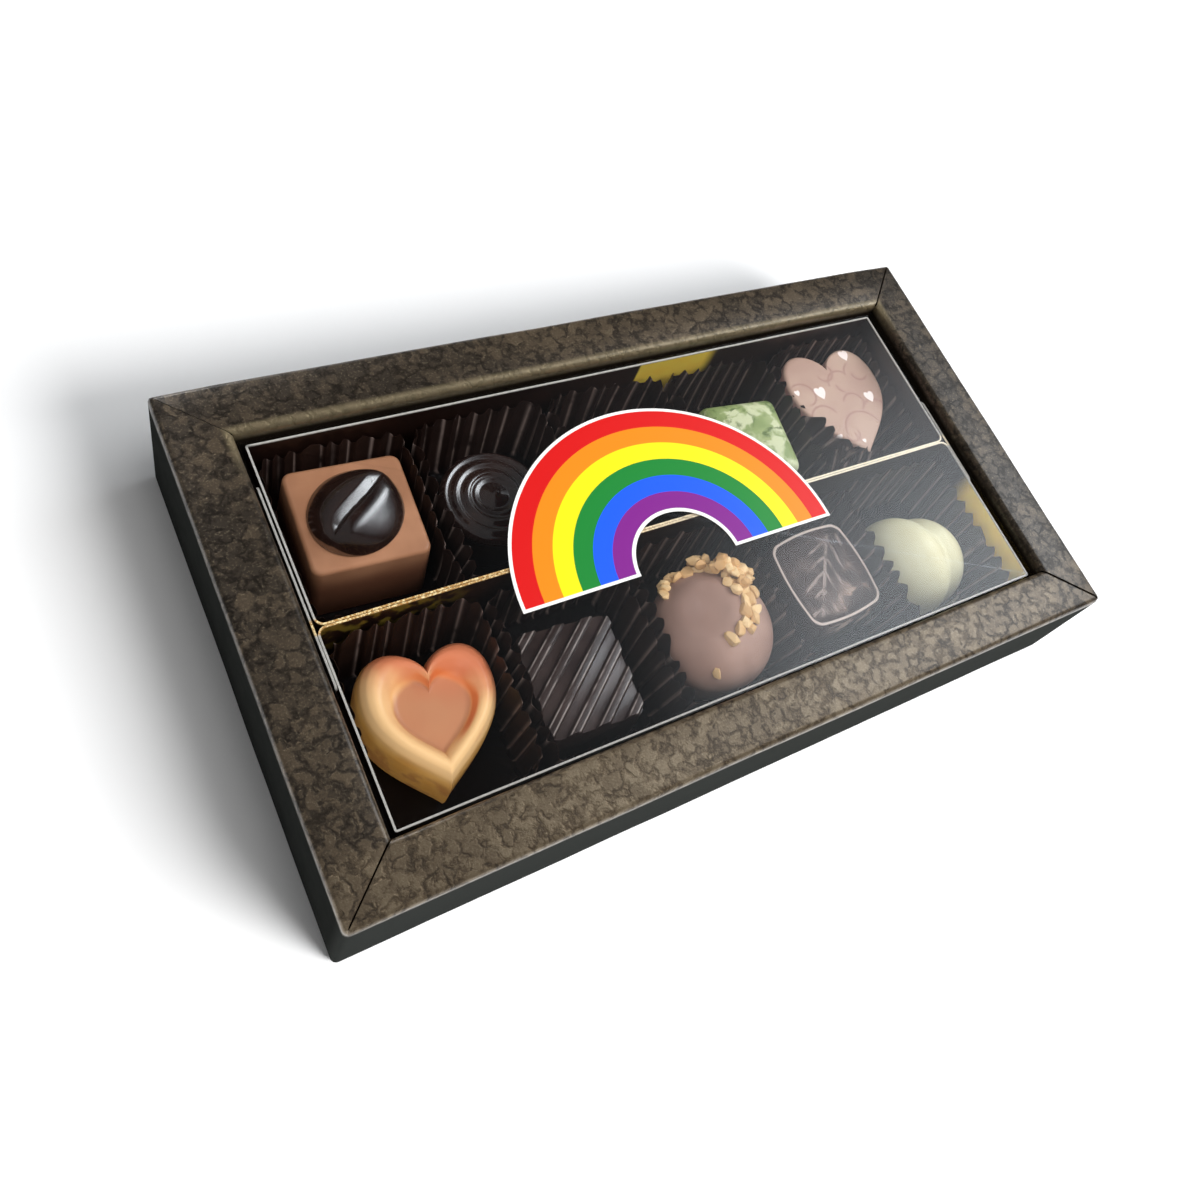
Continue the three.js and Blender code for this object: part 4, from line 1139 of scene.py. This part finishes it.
glazed = chocolate("glazed_dark", tint(60, 45, 41), tint(36, 25, 23), 0.6, 0.0, 6.0, 0.05, leafy)
sides = [(1.3, 0), (0.2, 1.6), (0, 5), (0.1, 10.2), (0.5, 13.6), (0.9, 14.8)]
frame_line = [(1.2, 15.12), (1.5, 15), (2.6, 14.3)]
sunk_top = [(3.6, 13.9), (7, 13.85)]
pillow = moulded(bowed(11.4, 11.9, 2.4, 1.1), sides + frame_line + sunk_top, 0.22, 160, 96)
place(pillow, "pillow", "praline_pillow", glazed, PILLOW_AT, 3, smooth=60)


# %% Shell
def lobe(direction, size, shift):
    ray, start = direction / size, -np.array(shift) / size
    a, b, c = (ray**2).sum(1), (ray * start).sum(1), (start**2).sum() - 1
    return (-b + np.sqrt(np.maximum(b * b - a * c, 0))) / a


def shell_form(around, up):
    lift, angle = np.pi * (up - 0.5), 2 * np.pi * around
    direction = np.column_stack([np.cos(lift) * np.cos(angle), np.cos(lift) * np.sin(angle), np.sin(lift)])
    left = lobe(direction, np.array([9.5, 14.0, 16.4]), (-2.2, 0.2, 1.2))
    right = lobe(direction, np.array([7.8, 12.0, 14.8]), (4.9, -1.7, 1.2))
    reach = np.log(np.exp(12 * left) + np.exp(12 * right)) / 12 - 0.03
    at = direction * reach[:, None]
    at[:, 2] = np.maximum(at[:, 2] + 0.6, 0.0)
    return at


shell = wrapped(128, 96, shell_form)
ivory = chocolate("white_chocolate", tint(219, 215, 180), tint(208, 201, 160), 0.45, 0.05, 9.0, 0.04)
place(shell, "shell", "praline_shell", ivory, cell(4, -1, (2.2, -1.6)), 14, smooth=60)

# %% [markdown]
# ## Clear lid and sticker
#
# The lid is a folded sheet of clear film that drops into the rim and rests above the liners. Glass shaders
# bend light, which a thin film hardly does, so Transparent is mixed with a clean gloss by the angle: clear
# from above, mirror-like at a glance. The sticker is half a ring cut from a disc, with six colour bands.

# %% Film lid
LID_X, LID_Y, LID_TALL, LID_TOP = 82.25, 41.6, 11.96, 26.98


def is_lid_fold(at, along):
    at_edge = abs(at.x) > LID_X - 0.05 or abs(at.y) > LID_Y - 0.1
    return at.z > LID_TOP - 0.08 and at_edge and abs(abs(along.x) - abs(along.y)) > 0.9


lid = cuboid((2 * LID_X, 2 * LID_Y, LID_TALL), (0, 0, LID_TOP - LID_TALL / 2))
pick(lid, "FACE", lambda at, out: out.z < -0.9)
bpy.ops.mesh.delete(type="FACE")
pick(lid, "EDGE", lambda at, along: abs(along.z) > 0.9)
bpy.ops.mesh.bevel(offset=0.4, segments=1, affect="EDGES")
pick(lid, "FACE", lambda at, out: abs(out.x) > 0.4 and abs(out.y) > 0.4)
bpy.ops.mesh.delete(type="FACE")
pick(lid, "EDGE", is_lid_fold)
bpy.ops.mesh.bevel(offset=0.45, segments=3, affect="EDGES")
modify(lid, "SOLIDIFY", thickness=0.26, offset=-1.0)

film, spot = material("clear_film")
wave = bump(cloud(spot, 60.0, 2.0), 0.4, 0.15)
gloss = spot.node("BsdfGlossy", None, {"Color": (0.96, 0.98, 1.0, 1.0), "Roughness": 0.06, "Normal": wave})
clear = spot.node("BsdfTransparent", None, {"Color": (0.985, 0.988, 0.99, 1.0)})
mirror = 0.023 + 0.9 * spot.node("LayerWeight", None, {"Blend": 0.5}, "Facing") ** 5.0
finish(spot, spot.node("MixShader", None, {0: mirror, 1: clear, 2: gloss}))
place(lid, "film_lid", "clear_lid", film, body="lid", smooth=2)

# %% Arch sticker
ARCH_AT, ARCH_OUT, ARCH_IN = Vector((-4.0, -10.2, 27.02)), 39.55, 12.25
only()
bpy.ops.mesh.primitive_circle_add(vertices=256, radius=ARCH_OUT, fill_type="NGON", location=ARCH_AT)
arch = bpy.context.object
bpy.ops.object.transform_apply()
pick(arch, "FACE", lambda at, out: True)
bpy.ops.mesh.inset(thickness=ARCH_OUT - ARCH_IN)
bpy.ops.mesh.delete(type="FACE")
bpy.ops.mesh.select_all(action="SELECT")
bpy.ops.mesh.bisect(plane_co=ARCH_AT, plane_no=(0, -1, 0), clear_outer=True)
modify(arch, "SOLIDIFY", thickness=0.12, offset=1.0)

vinyl, spot = material("banded_vinyl")
from_x, from_y = axis(spot, "X") - ARCH_AT.x, axis(spot, "Y") - ARCH_AT.y
out_from = ((from_x * from_x + from_y * from_y) ** 0.5 - ARCH_IN) / (ARCH_OUT - ARCH_IN)
WHITE = tint(244, 244, 240)
BANDS = (123, 22, 133), (16, 88, 245), (14, 125, 44), (244, 228, 8), (250, 135, 10), (209, 9, 7)
BORDER = 0.028
BAND = (1 - 2 * BORDER) / len(BANDS)
coloured = [(BORDER + k * BAND, tint(*band)) for k, band in enumerate(BANDS)]
stops = [(0.0, WHITE), *coloured, (1 - BORDER, WHITE)]
bands = out_from.node("ValToRGB", {"stops": stops, "steps": "CONSTANT"}, {"Fac": out_from})
printed_on = rise(from_y, 0.66, 0.8)
surface(
    spot,
    {
        "Base Color": mix(printed_on, WHITE, bands),
        "Roughness": 0.42 + 0.1 * (cloud(spot, 3.0) - 0.5),
        "Coat Weight": 0.15,
        "Normal": bump(cloud(spot, 0.6, 2.0), 0.02, 0.3),
    },
)
place(arch, "arch_sticker", "rainbow_sticker", vinyl, body="lid", smooth=30)

# %% [markdown]
# ## Floor and light
#
# The box stands on plain white, which glows a little more further off. A lamp from the right and the front
# throws a soft shadow to the left and the back. Most lamps are linked to the pieces that they light, so that
# floor, carton and contents can be balanced one by one, and a small one lifts the bordered heart's shaded
# flank. A pale panel on the right, which the camera doesn't see, is what the lid and the rim mirror there.

# %% White floor
only()
bpy.ops.mesh.primitive_plane_add(size=6, location=(0, 0, -0.0003))
floor = bpy.context.object
floor.name = "floor"
white, spot = material("white_floor")
lit = spot.node("BsdfDiffuse", None, {"Color": (0.94, 0.94, 0.94, 1.0)})
away = spot.node("VectorMath", {"operation": "LENGTH"}, {0: spot}, "Value")
bright = mix(rise(away, 0.4, 1.1), (0.06, 0.06, 0.06, 1.0), (1.0, 1.0, 1.0, 1.0))
glow = spot.node("Emission", None, {"Color": bright, "Strength": 1.0})
finish(spot, spot.node("AddShader", None, {0: lit, 1: glow}))
floor.data.materials.append(white)
floor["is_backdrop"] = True

world = bpy.data.worlds.new("studio")
bpy.context.scene.world = world
world.use_nodes = True
world.node_tree.nodes.clear()
sky = Wire(world.node_tree)
seen = sky.node("LightPath", out="Is Camera Ray")
ambient = sky.node("Background", None, {"Color": (1, 1, 1, 1), "Strength": 0.1})
backdrop = sky.node("Background", None, {"Color": (1, 1, 1, 1), "Strength": 1.0})
both = sky.node("MixShader", None, {0: seen, 1: ambient, 2: backdrop})
sky.node("OutputWorld", None, {"Surface": both})
print("floor and world ready")


# %% Lamps and the mirrored panel
LIT = {
    "box_only": DRESSED,
    "floor_only": [floor],
    "carton_only": DRESSED[:1],
    "contents_only": DRESSED[1:],
    "heart_only": [bordered],
}
groups = {name: bpy.data.collections.new(name) for name in LIT}
for name, pieces in LIT.items():
    for obj in pieces:
        groups[name].objects.link(obj)


def lamp(name, at, size, watts, lit=None, mirrored=False, towards=(0, 0, 0)):
    only()
    bpy.ops.object.light_add(type="AREA", location=Vector(at) * MM)
    light = bpy.context.object
    light.name = name
    light.rotation_euler = (Vector(towards) - Vector(at)).to_track_quat("-Z", "Y").to_euler()
    light.data.shape = "DISK"
    light.data.size = size * MM
    light.data.energy = watts
    light.visible_glossy = mirrored
    if lit:
        light.light_linking.receiver_collection = groups[lit]
    print(name, "gives", watts, "W to", lit or "all")
    return light


lamp("ground", (950, -1750, 1584), 1250, 87.0, "floor_only", mirrored=True)
lamp("key", (900, -600, 1900), 1500, 24.0, "box_only")
lamp("upper", (528, -720, 2232), 1400, 20.0)
lamp("roof", (-400, 500, 2000), 1800, 11.0, "box_only")
lamp("fill", (-1000, -700, 1300), 1200, 13.0, "contents_only")
lamp("window", (-150, 1290, 750), 600, 7.0, "carton_only", mirrored=True)
flank = lamp("flank", (-900, -900, 250), 500, 5.0, "heart_only", towards=(-64, -20, 10))
flank.light_linking.blocker_collection = groups["heart_only"]
PANEL_AT = Vector((500, 10, 500))
only()
bpy.ops.mesh.primitive_plane_add(size=1.3)
panel = bpy.context.object
panel.name = "panel"
panel.location = PANEL_AT * MM
panel.rotation_euler = (Vector((0, 0, 20)) - PANEL_AT).to_track_quat("Z", "Y").to_euler()
soft, spot = material("panel_glow")
gap = spot.node("VectorMath", {"operation": "LENGTH"}, {0: spot}, "Value") * 1000.0
fade = 0.9 * (1 - rise(gap, 60.0, 330.0)) + 0.1 * (1 - rise(gap, 200.0, 620.0))
glow = mix(fade, (0.0, 0.0, 0.0, 1.0), (0.92, 0.96, 1.0, 1.0))
finish(spot, spot.node("Emission", None, {"Color": glow, "Strength": 4.4}))
panel.data.materials.append(soft)
panel.visible_camera = False
panel.visible_shadow = False
panel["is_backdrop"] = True
bpy.context.scene.view_settings.view_transform = "Standard"
print("panel stands", round(panel.location.length, 2), "m from the origin")

# %% [markdown]
# ## Measure
#
# The dressed box must not outgrow the CAD part, so the room left below the CAD part's high corner is
# printed.

# %% Measure
new_low, new_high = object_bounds()
spare = [round((cad - new) / MM, 2) for cad, new in zip(cad_high, new_high)]
print("room left below the CAD part's high corner in mm:", spare)
